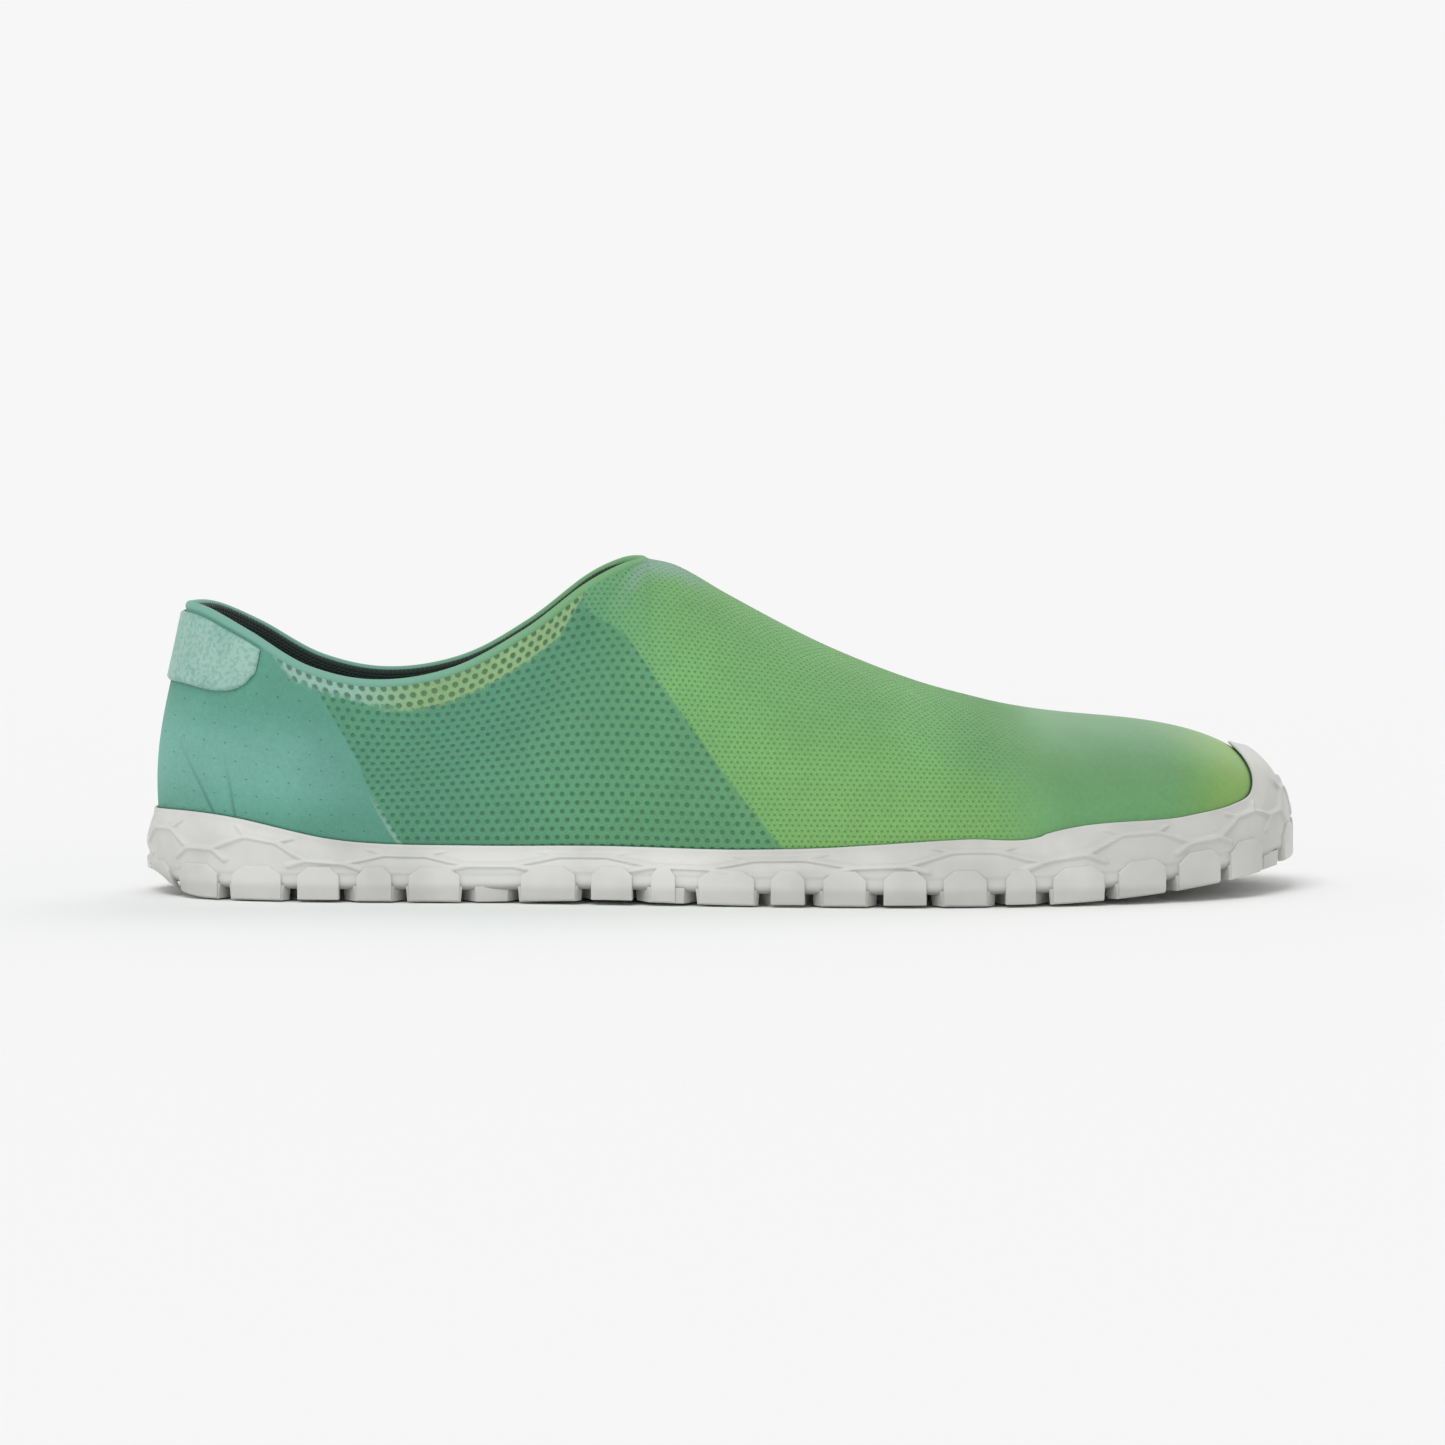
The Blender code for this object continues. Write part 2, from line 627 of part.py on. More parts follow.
def block_spans():
    """Stretches of the edge, in steps, where a lug reaches it and so climbs the wall as a block."""
    fine = np.arange(0, 2 * STEPS, TRIAL_STEP)
    border, _ = edge_line(fine, LUG_PROUD)
    spacing = np.linalg.norm(np.roll(border, -1, axis=0) - border, axis=1)
    for centre in lug_centres():
        corners = np.array(hexagon(centre))
        sides = np.roll(corners, -1, axis=0) - corners
        inward = np.stack([-sides[:, 1], sides[:, 0]], axis=1)
        inside = np.all(((border[:, None] - corners[None]) * inward[None]).sum(-1) > 0, axis=1)
        starts = np.flatnonzero(inside & ~np.roll(inside, 1))
        for start in starts:
            run = np.argmin(np.roll(inside, -start))
            if spacing[(start + np.arange(run)) % len(fine)].sum() < BLOCK_LENGTH_LEAST:
                continue
            trim = BLOCK_SET_BACK / spacing[start] * TRIAL_STEP
            yield fine[start] + trim, fine[start] + run * TRIAL_STEP - trim


def make_blocks():
    """Blocks on the wall above the edge lugs, each a short curved bar with its top corners cut away."""
    along, tops = np.array(BLOCK_TOPS).T
    vertices, faces = [], []
    for start, end in block_spans():
        steps = start + (end - start) * along
        plan, normal = edge_line(steps)
        base, out = at_level(plan, BLOCK_FOOT), at_level(normal, 0.0)
        top_share = (BLOCK_TOP - FLOOR) * tops / lip_reach(steps)
        sections = []
        for proud in (BLOCK_PROUD, -BLOCK_BURY):
            middle = wall_point(steps, 0.0)
            middle[:, 2] = EDGE_LEVEL
            high = wall_point(steps, top_share, proud)
            sections.append([base + out * proud, middle + out * proud, high])
        loop = sections[0] + sections[1][::-1]
        first, count = len(vertices), len(loop)
        last = first + (len(along) - 1) * count
        for i in range(len(along)):
            vertices += [tuple(ring[i]) for ring in loop]
        for i in range(len(along) - 1):
            faces += ring_faces(count, first + i * count, first + (i + 1) * count)
        faces += [tuple(range(first, first + count)), tuple(range(last, last + count))]
    return mesh_object("blocks", vertices, faces)


def join(body, tool):
    """Union of the two solids, kept by the first."""
    union = body.modifiers.new("union", "BOOLEAN")
    union.operation = "UNION"
    union.solver = "EXACT"
    union.object = tool
    graph = bpy.context.evaluated_depsgraph_get()
    graph.update()
    merged = bpy.data.meshes.new_from_object(body.evaluated_get(graph))
    body.modifiers.clear()
    body.data = merged
    merged.name = body.name
    bpy.data.objects.remove(tool)


def make_outsole():
    """Moulded cup with its lugs and side blocks, joined flat and then settled."""
    body = make_sole_body(np.arange(2 * STEPS, dtype=float))
    join(body, make_lugs())
    join(body, make_blocks())
    bm = bmesh.new()
    bm.from_mesh(body.data)
    bmesh.ops.remove_doubles(bm, verts=bm.verts, dist=MERGE)
    bmesh.ops.triangulate(bm, faces=bm.faces)
    places = settle([v.co for v in bm.verts], underside=True)
    for vertex, place in zip(bm.verts, places):
        vertex.co = place
    bm.to_mesh(body.data)
    bm.free()
    return body


def make_insole():
    """Flat foam sheet that fills the floor inside the upper."""
    steps = np.arange(2 * STEPS, dtype=float)
    low, high = EDGE_LEVEL, EDGE_LEVEL + INSOLE_THICKNESS

    def edge_at(level):
        climbs, _ = climb_at(steps, level - EDGE_LEVEL)
        ring = off_upper(steps, climbs, -UPPER_WALL - INSOLE_FIT)
        ring[:, 2] = level
        return ring

    bottom, top = edge_at(low), edge_at(high)
    middle_up = floor_rings(top, INSOLE_RINGS)[::-1]
    rings = [*floor_rings(bottom, INSOLE_RINGS), bottom, top, *middle_up]
    return skin("insole", [settle(ring) for ring in rings])


def make_heel_patch():
    """Thin patch over the back of the heel, square at the collar and round at its lower corners."""
    across, down = np.linspace(-1, 1, PATCH_COLUMNS), np.linspace(0, 1, PATCH_ROWS)
    fine = np.arange(0, THROAT_STEP, TRIAL_STEP)
    path = upper_surface(fine, 1.0)
    run = np.concatenate([[0], np.cumsum(np.linalg.norm(np.diff(path, axis=0), axis=1))])
    steps = np.interp(np.abs(across) * PATCH_REACH, run, fine) * np.where(across < 0, 1, -1)
    turned = np.maximum(1 - np.abs(across) ** PATCH_CORNER_POWER, 0) ** (1 / PATCH_CORNER_POWER)
    depth = PATCH_DEPTH * np.maximum(turned, PATCH_END_SHARE)
    _, length = climb_at(steps, 0.0)
    rows = [climb_at(steps, length - PATCH_BELOW_RIM - depth * d)[0] for d in down]
    outside = [settle(off_upper(steps, row, FIT + PATCH_THICKNESS)) for row in rows]
    inside = [settle(off_upper(steps, row, FIT)) for row in rows]
    loop = outside + inside[::-1]
    count = len(loop)
    vertices = [tuple(ring[i]) for i in range(len(across)) for ring in loop]
    last = (len(across) - 1) * count
    faces = [f for i in range(len(across) - 1) for f in ring_faces(count, i * count, (i + 1) * count)]
    for start in (0, last):
        for j in range(len(outside) - 1):
            faces.append((start + j, start + j + 1, start + count - 2 - j, start + count - 1 - j))
    return mesh_object("heel_patch", vertices, faces)


def finish(obj):
    """Colour, roughness and smooth shading."""
    red, green, blue, roughness = COLOURS[obj.name]
    material = bpy.data.materials.new(obj.name)
    material.use_nodes = True
    shader = material.node_tree.nodes["Principled BSDF"]
    shader.inputs["Base Color"].default_value = (red, green, blue, 1)
    shader.inputs["Roughness"].default_value = roughness
    shader.inputs["Metallic"].default_value = 0
    obj.data.materials.clear()
    obj.data.materials.append(material)
    obj.data.shade_smooth()
    obj.data.set_sharp_from_angle(angle=math.radians(35))


def centre_on_floor(objects):
    """Move every point so that the middle of the shoe's box stands over the origin."""
    points = np.array([v.co for obj in objects for v in obj.data.vertices])
    low, high = points.min(axis=0), points.max(axis=0)
    shift = np.array([(low[0] + high[0]) / 2, (low[1] + high[1]) / 2, low[2]])
    for obj in objects:
        for vertex in obj.data.vertices:
            vertex.co = np.array(vertex.co) - shift


def main():
    for obj in list(bpy.data.objects):
        bpy.data.objects.remove(obj)
    pieces = [make_outsole(), make_upper(), make_insole(), make_heel_patch()]
    centre_on_floor(pieces)
    for piece in pieces:
        finish(piece)


main()
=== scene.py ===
"""Looks of the trail running shoe for the right foot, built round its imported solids.

Metres, +Z up, toe towards +X, outer (lateral) side towards -Y. The knit upper, the moulded sole, the
insole and the heel patch are made again as fine meshes from the same named sizes as the solids, laid out
flat with x running from the back of the heel, then settled on arch and toe spring and moved to the
frame's own place.
"""

import logging  # noqa: E402
import math  # noqa: E402
from dataclasses import dataclass, field  # noqa: E402
from enum import Enum  # noqa: E402
from typing import Any, Callable, Iterable, Sequence  # noqa: E402

import bmesh  # noqa: E402
import bpy  # noqa: E402
import numpy as np  # noqa: E402
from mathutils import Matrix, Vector  # noqa: E402


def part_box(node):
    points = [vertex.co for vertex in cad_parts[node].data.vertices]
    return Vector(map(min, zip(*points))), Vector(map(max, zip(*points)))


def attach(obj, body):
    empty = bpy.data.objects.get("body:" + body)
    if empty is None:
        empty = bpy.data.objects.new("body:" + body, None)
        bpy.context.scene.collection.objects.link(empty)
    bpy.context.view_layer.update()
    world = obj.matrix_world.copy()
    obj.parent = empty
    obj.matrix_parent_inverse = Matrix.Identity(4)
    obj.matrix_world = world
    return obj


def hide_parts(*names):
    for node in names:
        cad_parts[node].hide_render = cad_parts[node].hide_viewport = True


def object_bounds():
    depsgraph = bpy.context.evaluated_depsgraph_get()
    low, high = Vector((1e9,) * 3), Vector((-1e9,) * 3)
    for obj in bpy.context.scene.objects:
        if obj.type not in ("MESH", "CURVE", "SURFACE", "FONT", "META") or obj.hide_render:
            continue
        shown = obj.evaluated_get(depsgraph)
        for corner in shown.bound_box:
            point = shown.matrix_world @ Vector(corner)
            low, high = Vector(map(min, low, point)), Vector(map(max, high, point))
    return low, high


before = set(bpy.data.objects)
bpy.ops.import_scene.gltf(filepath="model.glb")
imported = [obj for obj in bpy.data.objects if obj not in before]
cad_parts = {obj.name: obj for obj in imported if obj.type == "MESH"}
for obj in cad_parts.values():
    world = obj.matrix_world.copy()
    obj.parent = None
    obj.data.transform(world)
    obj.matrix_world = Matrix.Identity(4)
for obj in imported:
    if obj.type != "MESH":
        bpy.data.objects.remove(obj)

CAD_BOX = [list(corner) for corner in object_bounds()]
PHOTO_SIDE = 1445
NUDGE = 1e-3
MERGE = 1e-6

log = logging.getLogger("shoe")


class Side(Enum):
    """Outer or inner side of the shoe."""

    LATERAL = 2
    MEDIAL = 3


def curve(xs: Sequence[float], ys: Sequence[float], at: Any) -> np.ndarray:
    """Smooth curve through rows, as a cubic with the slopes of the chords about each row.

    Args:
        xs: Places of the rows, rising.
        ys: Values at the rows.
        at: Places to read.

    Returns:
        The values at those places.
    """
    xs, ys, at = (np.asarray(v, float) for v in (xs, ys, at))
    chords = np.diff(ys) / np.diff(xs)
    slopes = np.concatenate([chords[:1], (chords[1:] + chords[:-1]) / 2, chords[-1:]])
    cell = np.clip(np.searchsorted(xs, at, side="right") - 1, 0, len(xs) - 2)
    span = xs[cell + 1] - xs[cell]
    u = np.clip((at - xs[cell]) / span, 0, 1)
    return (
        ys[cell] * (1 + 2 * u) * (1 - u) ** 2
        + ys[cell + 1] * u * u * (3 - 2 * u)
        + slopes[cell] * span * u * (1 - u) ** 2
        - slopes[cell + 1] * span * u * u * (1 - u)
    )


def round_end_angle(share: Any) -> np.ndarray:
    """Angle whose cosine gives this share of a length, so that a table can close in a round end."""
    return np.arccos(1 - 2 * np.asarray(share, float))


def ease(u: Any) -> np.ndarray:
    """Smooth step from 0 to 1."""
    u = np.clip(u, 0, 1)
    return u * u * (3 - 2 * u)


def unit(vectors: np.ndarray) -> np.ndarray:
    """Vectors made one long."""
    return vectors / np.maximum(np.linalg.norm(vectors, axis=-1, keepdims=True), 1e-12)


def path_run(points: np.ndarray) -> np.ndarray:
    """Distance run along a path of points, from 0 at the first."""
    return np.concatenate([[0], np.cumsum(np.linalg.norm(np.diff(points, axis=0), axis=1))])


def at_level(plan: np.ndarray, level: float) -> np.ndarray:
    """Points in plan, put at one height."""
    return np.concatenate([plan, np.full((len(plan), 1), level)], axis=1)


def ring_faces(count: int, first: int, second: int, chosen: Iterable[int] | None = None) -> list[tuple]:
    """Faces between two rings of points.

    Args:
        count: Points in a ring.
        first: Index at which the first ring starts.
        second: Index at which the second ring starts.
        chosen: Places round the ring that get a face; all by default.

    Returns:
        Four corners for each face.
    """
    places = range(count) if chosen is None else chosen
    return [(first + k, first + (k + 1) % count, second + (k + 1) % count, second + k) for k in places]


@dataclass
class Last:
    """The shoe's form: one surface, the outside of the upper, that every piece follows.

    A place on it is a step round the edge (0 at the back of the heel, steps at the tip of the toe, on to
    twice that along the inner side) and a climb from 0 at the sole's edge to 1 at the collar or ridge.
    """

    sole_length: float = 0.268
    heel_width: float = 0.071
    waist_width: float = 0.078
    ball_width: float = 0.099
    lug_depth: float = 0.003
    base_thickness: float = 0.0025
    sole_wall: float = 0.0030
    heel_lip: float = 0.0135
    waist_lip: float = 0.0068
    ball_lip: float = 0.0100
    toe_guard_reach: float = 0.0268
    rand_from: float = 0.668
    toe_spring: float = 0.0070
    arch_rise: float = 0.0016
    heel_bevel_length: float = 0.016
    heel_bevel_rise: float = 0.0042
    heel_bevel_set_in: float = 0.0035
    fit: float = 0.0003
    upper_wall: float = 0.0018
    rim_wall: float = 0.0026
    rim_round: float = 0.0008
    instep_height: float = 0.077
    toe_box_height: float = 0.0395
    collar_back: float = 0.067
    collar_low: float = 0.050
    collar_width: float = 0.059
    collar_length: float = 0.108
    collar_set_in: float = 0.0085
    collar_lean: float = math.radians(11)
    collar_band: float = 0.008
    bulge: float = 0.0025
    pole_along: float = 0.835
    pole_sideways: float = 0.20
    arch_from: float = 0.28
    arch_to: float = 0.525
    arch_lateral_share: float = 0.35
    toe_bend_from: float = 0.735
    spine_from: float = 0.13
    spine_to: float = 0.86
    steps: int = 36
    throat_step: int = 16
    pole_step: int = 28
    crowding: float = 0.30
    collar_fade_steps: int = 4
    rim_fade_steps: int = 3
    throat_mend: int = 4
    mend_fade: int = 2
    mend_from: float = 0.60
    mend_full: float = 0.85
    profile_samples: int = 61
    outline_samples: int = 721
    place_samples: int = 361
    shift: np.ndarray = field(default_factory=lambda: np.zeros(3))

    def __post_init__(self) -> None:
        """Lay out the tables in this shoe's sizes."""
        heel, waist, ball = self.heel_width / 2, self.waist_width / 2, self.ball_width / 2
        instep, toe, low = self.instep_height, self.toe_box_height, self.collar_low
        back, guard = self.collar_back, self.toe_guard_reach
        self.floor = self.lug_depth + self.base_thickness
        self.edge_level = self.floor + self.fit
        self.feather_inset = self.sole_wall + self.fit
        self.ridge_start = self.collar_set_in + self.collar_length
        self.outline = np.array(
            (
                # along, half width, lateral, medial
                (0.000, heel, 0.00, 0.00),
                (0.020, heel, 0.48, 0.48),
                (0.060, heel, 0.77, 0.76),
                (0.120, heel, 0.94, 0.93),
                (0.190, heel, 1.01, 0.99),
                (0.280, heel, 1.05, 0.97),
                (0.360, waist, 1.03, 0.86),
                (0.440, waist, 1.13, 0.87),
                (0.520, ball, 0.96, 0.74),
                (0.600, ball, 1.01, 0.86),
                (0.680, ball, 1.02, 0.96),
                (0.740, ball, 0.99, 1.01),
                (0.800, ball, 0.92, 1.01),
                (0.860, ball, 0.80, 0.96),
                (0.910, ball, 0.65, 0.89),
                (0.950, ball, 0.46, 0.80),
                (0.980, ball, 0.20, 0.66),
                (1.000, ball, -0.28, 0.28),
            )
        )
        self.rim = np.array(
            (
                # along, half width, height
                (0.00, 0.00, back),
                (0.05, 0.54, back * 0.985),
                (0.14, 0.83, back * 0.915),
                (0.28, 0.99, low * 1.06),
                (0.42, 1.00, low),
                (0.58, 0.96, low * 1.05),
                (0.74, 0.86, low * 1.22),
                (0.87, 0.71, instep * 0.920),
                (0.95, 0.50, instep * 0.980),
                (0.99, 0.25, instep * 0.998),
                (1.00, 0.00, instep),
            )
        )
        self.ridge = np.array(
            (
                # along, sideways, height
                (0.00, 0.00, instep),
                (0.06, 0.02, instep * 0.984),
                (0.17, 0.06, instep * 0.905),
                (0.36, 0.18, instep * 0.765),
                (0.57, 0.38, toe * 1.255),
                (0.78, 0.70, toe * 1.100),
                (1.00, 1.00, toe),
            )
        )
        self.sections = np.array(
            (
                # along, rise, crown, bulge
                (0.00, 0.46, 0.45, self.bulge * 1.80),
                (0.12, 0.46, 0.44, self.bulge * 1.60),
                (0.22, 0.46, 0.42, self.bulge * 1.20),
                (0.36, 0.44, 0.46, self.bulge),
                (0.44, 0.45, 0.56, self.bulge * 0.80),
                (0.58, 0.50, 0.58, self.bulge * 0.80),
                (0.72, 0.56, 0.58, self.bulge * 0.80),
                (0.86, 0.60, 0.60, self.bulge * 0.60),
                (1.00, 0.60, 0.60, self.bulge * 0.40),
            )
        )
        self.lip = np.array(
            (
                # along, reach
                (0.00, self.heel_lip),
                (0.14, self.heel_lip),
                (0.25, self.waist_lip * 1.15),
                (0.34, self.waist_lip),
                (0.52, self.waist_lip),
                (0.62, self.ball_lip * 0.90),
                (self.rand_from, self.ball_lip * 0.93),
                (self.rand_from + 0.003, self.ball_lip * 0.98),
                (0.78, self.ball_lip * 1.04),
                (0.84, self.ball_lip * 1.08),
                (0.88, self.ball_lip * 1.22),
                (0.91, guard * 0.605),
                (0.94, guard * 0.806),
                (0.965, guard * 0.933),
                (0.985, guard * 0.985),
                (1.00, guard),
            )
        )
        self.dense = np.linspace(0, math.pi, self.outline_samples)
        self.even = {side: self._run_shares(self.outline_at(self.dense, side)) for side in Side}
        self.even_rim = self._run_shares(self.rim_at(self.dense))
        steps = np.arange(2 * self.steps, dtype=float)
        own = self.settle(np.concatenate([self.off(steps, row, 0.0) for row in self.solid_rows(steps)]))
        self.shift = np.array(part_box("upper")[0]) - own.min(axis=0)

    def _run_shares(self, points: np.ndarray) -> np.ndarray:
        """Share of a path's length that has been run at each of its points."""
        run = path_run(points)
        return run / run[-1]

    def outline_at(self, angles: np.ndarray, side: Side) -> np.ndarray:
        """Edge of the sole in plan, for angles from 0 at the heel to pi at the toe."""
        rows = self.outline
        share = curve(round_end_angle(rows[:, 0]), rows[:, 1] * rows[:, side.value], angles)
        sign = -1 if side is Side.LATERAL else 1
        return np.stack([self.sole_length * (1 - np.cos(angles)) / 2, sign * share], axis=-1)

    def rim_at(self, angles: np.ndarray) -> np.ndarray:
        """Lateral half of the collar's edge, for angles from 0 at the back to pi at the front."""
        at = round_end_angle(self.rim[:, 0])
        return np.stack(
            [
                self.collar_set_in + self.collar_length * (1 - np.cos(angles)) / 2,
                -self.collar_width / 2 * curve(at, self.rim[:, 1], angles),
                curve(at, self.rim[:, 2], angles),
            ],
            axis=-1,
        )

    def fold(self, steps: Any) -> tuple[np.ndarray, np.ndarray]:
        """Steps round the whole edge, as steps of one side and whether that side is the lateral one."""
        steps = np.mod(np.asarray(steps, float), 2 * self.steps)
        lateral = steps <= self.steps
        return np.where(lateral, steps, 2 * self.steps - steps), lateral

    def _side_edge(self, shares: np.ndarray, side: Side) -> tuple[np.ndarray, np.ndarray]:
        """Points and normals of one side of the sole's edge, at shares of that side's length."""
        angles = np.interp(shares, self.even[side], self.dense)
        low, high = np.clip(angles - NUDGE, 0, math.pi), np.clip(angles + NUDGE, 0, math.pi)
        along = unit(self.outline_at(high, side) - self.outline_at(low, side))
        tip = np.isclose(angles, 0) | np.isclose(angles, math.pi)
        sign = 1 if side is Side.LATERAL else -1
        turned = np.stack([along[..., 1], -along[..., 0]], axis=-1) * sign
        ends = np.stack([np.where(angles > 1, 1.0, -1.0), np.zeros_like(angles)], axis=-1)
        return self.outline_at(angles, side), np.where(tip[..., None], ends, turned)

    def edge(self, steps: Any, outset: float = 0.0) -> tuple[np.ndarray, np.ndarray]:
        """Edge of the sole, set out along its normals, with the normals, both in plan."""
        side_steps, lateral = self.fold(steps)
        share = side_steps / self.steps
        share = share - self.crowding * np.sin(2 * math.pi * share) / (2 * math.pi)
        points, normals = np.empty(share.shape + (2,)), np.empty(share.shape + (2,))
        for side in Side:
            chosen = lateral == (side is Side.LATERAL)
            points[chosen], normals[chosen] = self._side_edge(share[chosen], side)
        return points + normals * outset, normals

    def top(self, steps: Any) -> np.ndarray:
        """Where the profiles end: the edge of the collar, the ridge of the forefoot, then its pole."""
        side_steps, lateral = self.fold(steps)
        on_rim = np.clip(side_steps / self.throat_step, 0, 1)
        rim = self.rim_at(np.interp(on_rim, self.even_rim, self.dense))
        on_ridge = np.clip((side_steps - self.throat_step) / (self.pole_step - self.throat_step), 0, 1)
        rows = self.ridge
        ridge = np.stack(
            [
                self.ridge_start + (self.pole_along * self.sole_length - self.ridge_start) * on_ridge,
                self.pole_sideways * self.ball_width / 2 * curve(rows[:, 0], rows[:, 1], on_ridge),
                curve(rows[:, 0], rows[:, 2], on_ridge),
            ],
            axis=-1,
        )
        rim[..., 1] *= np.where(lateral, 1, -1)
        return np.where((side_steps < self.throat_step)[..., None], rim, ridge)

    def ridge_slopes(self, side_steps: np.ndarray) -> np.ndarray:
        """Slope of the ridge along the shoe, which keeps its last value past the pole."""
        rows = self.ridge
        at = np.clip((side_steps - self.throat_step) / (self.pole_step - self.throat_step), 0, 1 - NUDGE)
        rise = curve(rows[:, 0], rows[:, 2], at + NUDGE) - curve(rows[:, 0], rows[:, 2], at)
        return rise / (NUDGE * (self.pole_along * self.sole_length - self.ridge_start))

    def surface(self, steps: Any, climbs: Any) -> np.ndarray:
        """Outside of the upper, at steps round the edge and climbs up the profile."""
        steps, climbs = np.broadcast_arrays(np.asarray(steps, float), np.asarray(climbs, float))
        side_steps, _ = self.fold(steps)
        plan, normal = self.edge(steps, -self.feather_inset)
        foot = np.concatenate([plan, np.full(plan.shape[:-1] + (1,), self.edge_level)], axis=-1)
        out = np.concatenate([normal, np.zeros(normal.shape[:-1] + (1,))], axis=-1)
        top = self.top(steps)
        up = np.array([0.0, 0.0, 1.0])
        rows = self.sections
        along = side_steps / self.steps
        rise, crown, bulge = (curve(rows[:, 0], rows[:, i], along)[..., None] for i in (1, 2, 3))
        height = top[..., 2:] - foot[..., 2:]
        across = foot - top
        across[..., 2] = 0
        reach = np.linalg.norm(across, axis=-1, keepdims=True)
        fall = unit(across) + up * self.ridge_slopes(side_steps)[..., None] * unit(across)[..., :1]
        over = fall * crown * reach
        down = (out * math.sin(self.collar_lean) - up * math.cos(self.collar_lean)) * crown * height
        at_collar = ease((self.throat_step - side_steps) / self.collar_fade_steps)[..., None]
        first = foot + up * rise * height + out * bulge
        last = top + over * (1 - at_collar) + down * at_collar
        c = climbs[..., None]
        return foot * (1 - c) ** 3 + 3 * first * c * (1 - c) ** 2 + 3 * last * c * c * (1 - c) + top * c**3

    def _square(self, steps: Any, climbs: Any) -> np.ndarray:
        """Directions square to the surface, from its slopes at each place."""
        climbs = np.clip(climbs, 0, 1 - 2 * NUDGE)
        around = self.surface(steps + NUDGE, climbs) - self.surface(steps - NUDGE, climbs)
        upwards = self.surface(steps, climbs + NUDGE) - self.surface(steps, np.maximum(climbs - NUDGE, 0))
        return unit(np.cross(around, upwards))

    def normals(self, steps: Any, climbs: Any) -> np.ndarray:
        """Directions square to the upper, pointing out of the shoe.

        The inner side's profiles run along the rim at the throat, which leaves no clear direction there,
        so its upper rows near the throat take the outer side's directions, mirrored.
        """
        steps, climbs = np.broadcast_arrays(np.asarray(steps, float), np.asarray(climbs, float))
        side_steps, lateral = self.fold(steps)
        mirrored = self._square(side_steps, climbs) * np.array([1.0, -1.0, 1.0])
        near = ease((self.throat_mend - np.abs(side_steps - self.throat_step)) / self.mend_fade)
        high = ease((climbs - self.mend_from) / (self.mend_full - self.mend_from))
        share = (near * high * ~lateral)[..., None]
        return unit(self._square(steps, climbs) * (1 - share) + mirrored * share)

    def off(self, steps: Any, climbs: Any, distance: Any) -> np.ndarray:
        """Points at a distance outside the upper's surface, or inside it where distance is negative."""
        steps, climbs = np.broadcast_arrays(np.asarray(steps, float), np.asarray(climbs, float))
        distance = np.broadcast_to(distance, steps.shape)[..., None]
        return self.surface(steps, climbs) + self.normals(steps, climbs) * distance

    def _profiles(self, steps: np.ndarray) -> tuple[np.ndarray, np.ndarray]:
        """Climbs close together up the profile, and the distance that each step's profile has run there."""
        dense = np.linspace(0, 1, self.profile_samples)
        paths = self.surface(steps[:, None], dense[None])
        pieces = np.linalg.norm(np.diff(paths, axis=1), axis=2)
        return dense, np.concatenate([np.zeros((len(steps), 1)), np.cumsum(pieces, axis=1)], axis=1)

    def climb_at(self, steps: np.ndarray, reach: Any) -> tuple[np.ndarray, np.ndarray]:
        """Climb at which the profile has run this far from the edge, and the profile's whole length."""
        steps = np.atleast_1d(np.asarray(steps, float))
        dense, run = self._profiles(steps)
        reach = np.broadcast_to(reach, steps.shape)
        climbs = np.array([np.interp(r, row, dense) for r, row in zip(reach, run)])
        return climbs, run[:, -1]

    def reach_at(self, steps: np.ndarray, climbs: np.ndarray) -> np.ndarray:
        """Distance up the profile, from the edge of the floor, to these climbs."""
        dense, run = self._profiles(steps)
        return np.array([np.interp(climb, dense, row) for climb, row in zip(climbs, run)])

    def lip_reach(self, steps: Any) -> np.ndarray:
        """Distance up the upper, from the edge of the floor, to the top edge of the sole."""
        return curve(self.lip[:, 0], self.lip[:, 1], self.fold(steps)[0] / self.steps)

    def rows(self, steps: np.ndarray, cup: int, free: int) -> list[np.ndarray]:
        """Climbs of the rows: those inside the sole's cup, then those above its lip."""
        lip, _ = self.climb_at(steps, self.lip_reach(steps))
        above = [lip + (1 - lip) * i / free for i in range(1, free + 1)]
        return [lip * i / cup for i in range(cup + 1)] + above

    def solid_rows(self, steps: np.ndarray) -> list[np.ndarray]:
        """The rows that the solid upper has."""
        return self.rows(steps, 4, 7)

    def settle(self, points: np.ndarray, underside: bool = False) -> np.ndarray:
        """Lift the arch and the toe, bevel the sole's heel, and move to the frame's place.

        Args:
            points: Points laid out flat.
            underside: Whether the points are the sole's, which has a bevel under the heel.

        Returns:
            The points where they lie on the finished shoe.
        """
        points = np.array(points, float)
        x, y = points[:, 0].copy(), points[:, 1]
        if underside:
            under = np.clip(1 - points[:, 2] / self.floor, 0, 1)
            back = np.clip(1 - x / self.heel_bevel_length, 0, 1) ** 2
            points[:, 0] += self.heel_bevel_set_in * back * under
            points[:, 2] += self.heel_bevel_rise * back * under
        share = x / self.sole_length
        in_arch = np.clip((share - self.arch_from) / (self.arch_to - self.arch_from), 0, 1)
        inner = ease(0.5 + y / self.waist_width)
        arch = np.sin(math.pi * in_arch) ** 2 * (
            self.arch_lateral_share + (1 - self.arch_lateral_share) * inner
        )
        bend = np.clip((share - self.toe_bend_from) / (1 - self.toe_bend_from), 0, None)
        points[:, 2] += self.arch_rise * arch + self.toe_spring * bend**2
        return points + self.shift

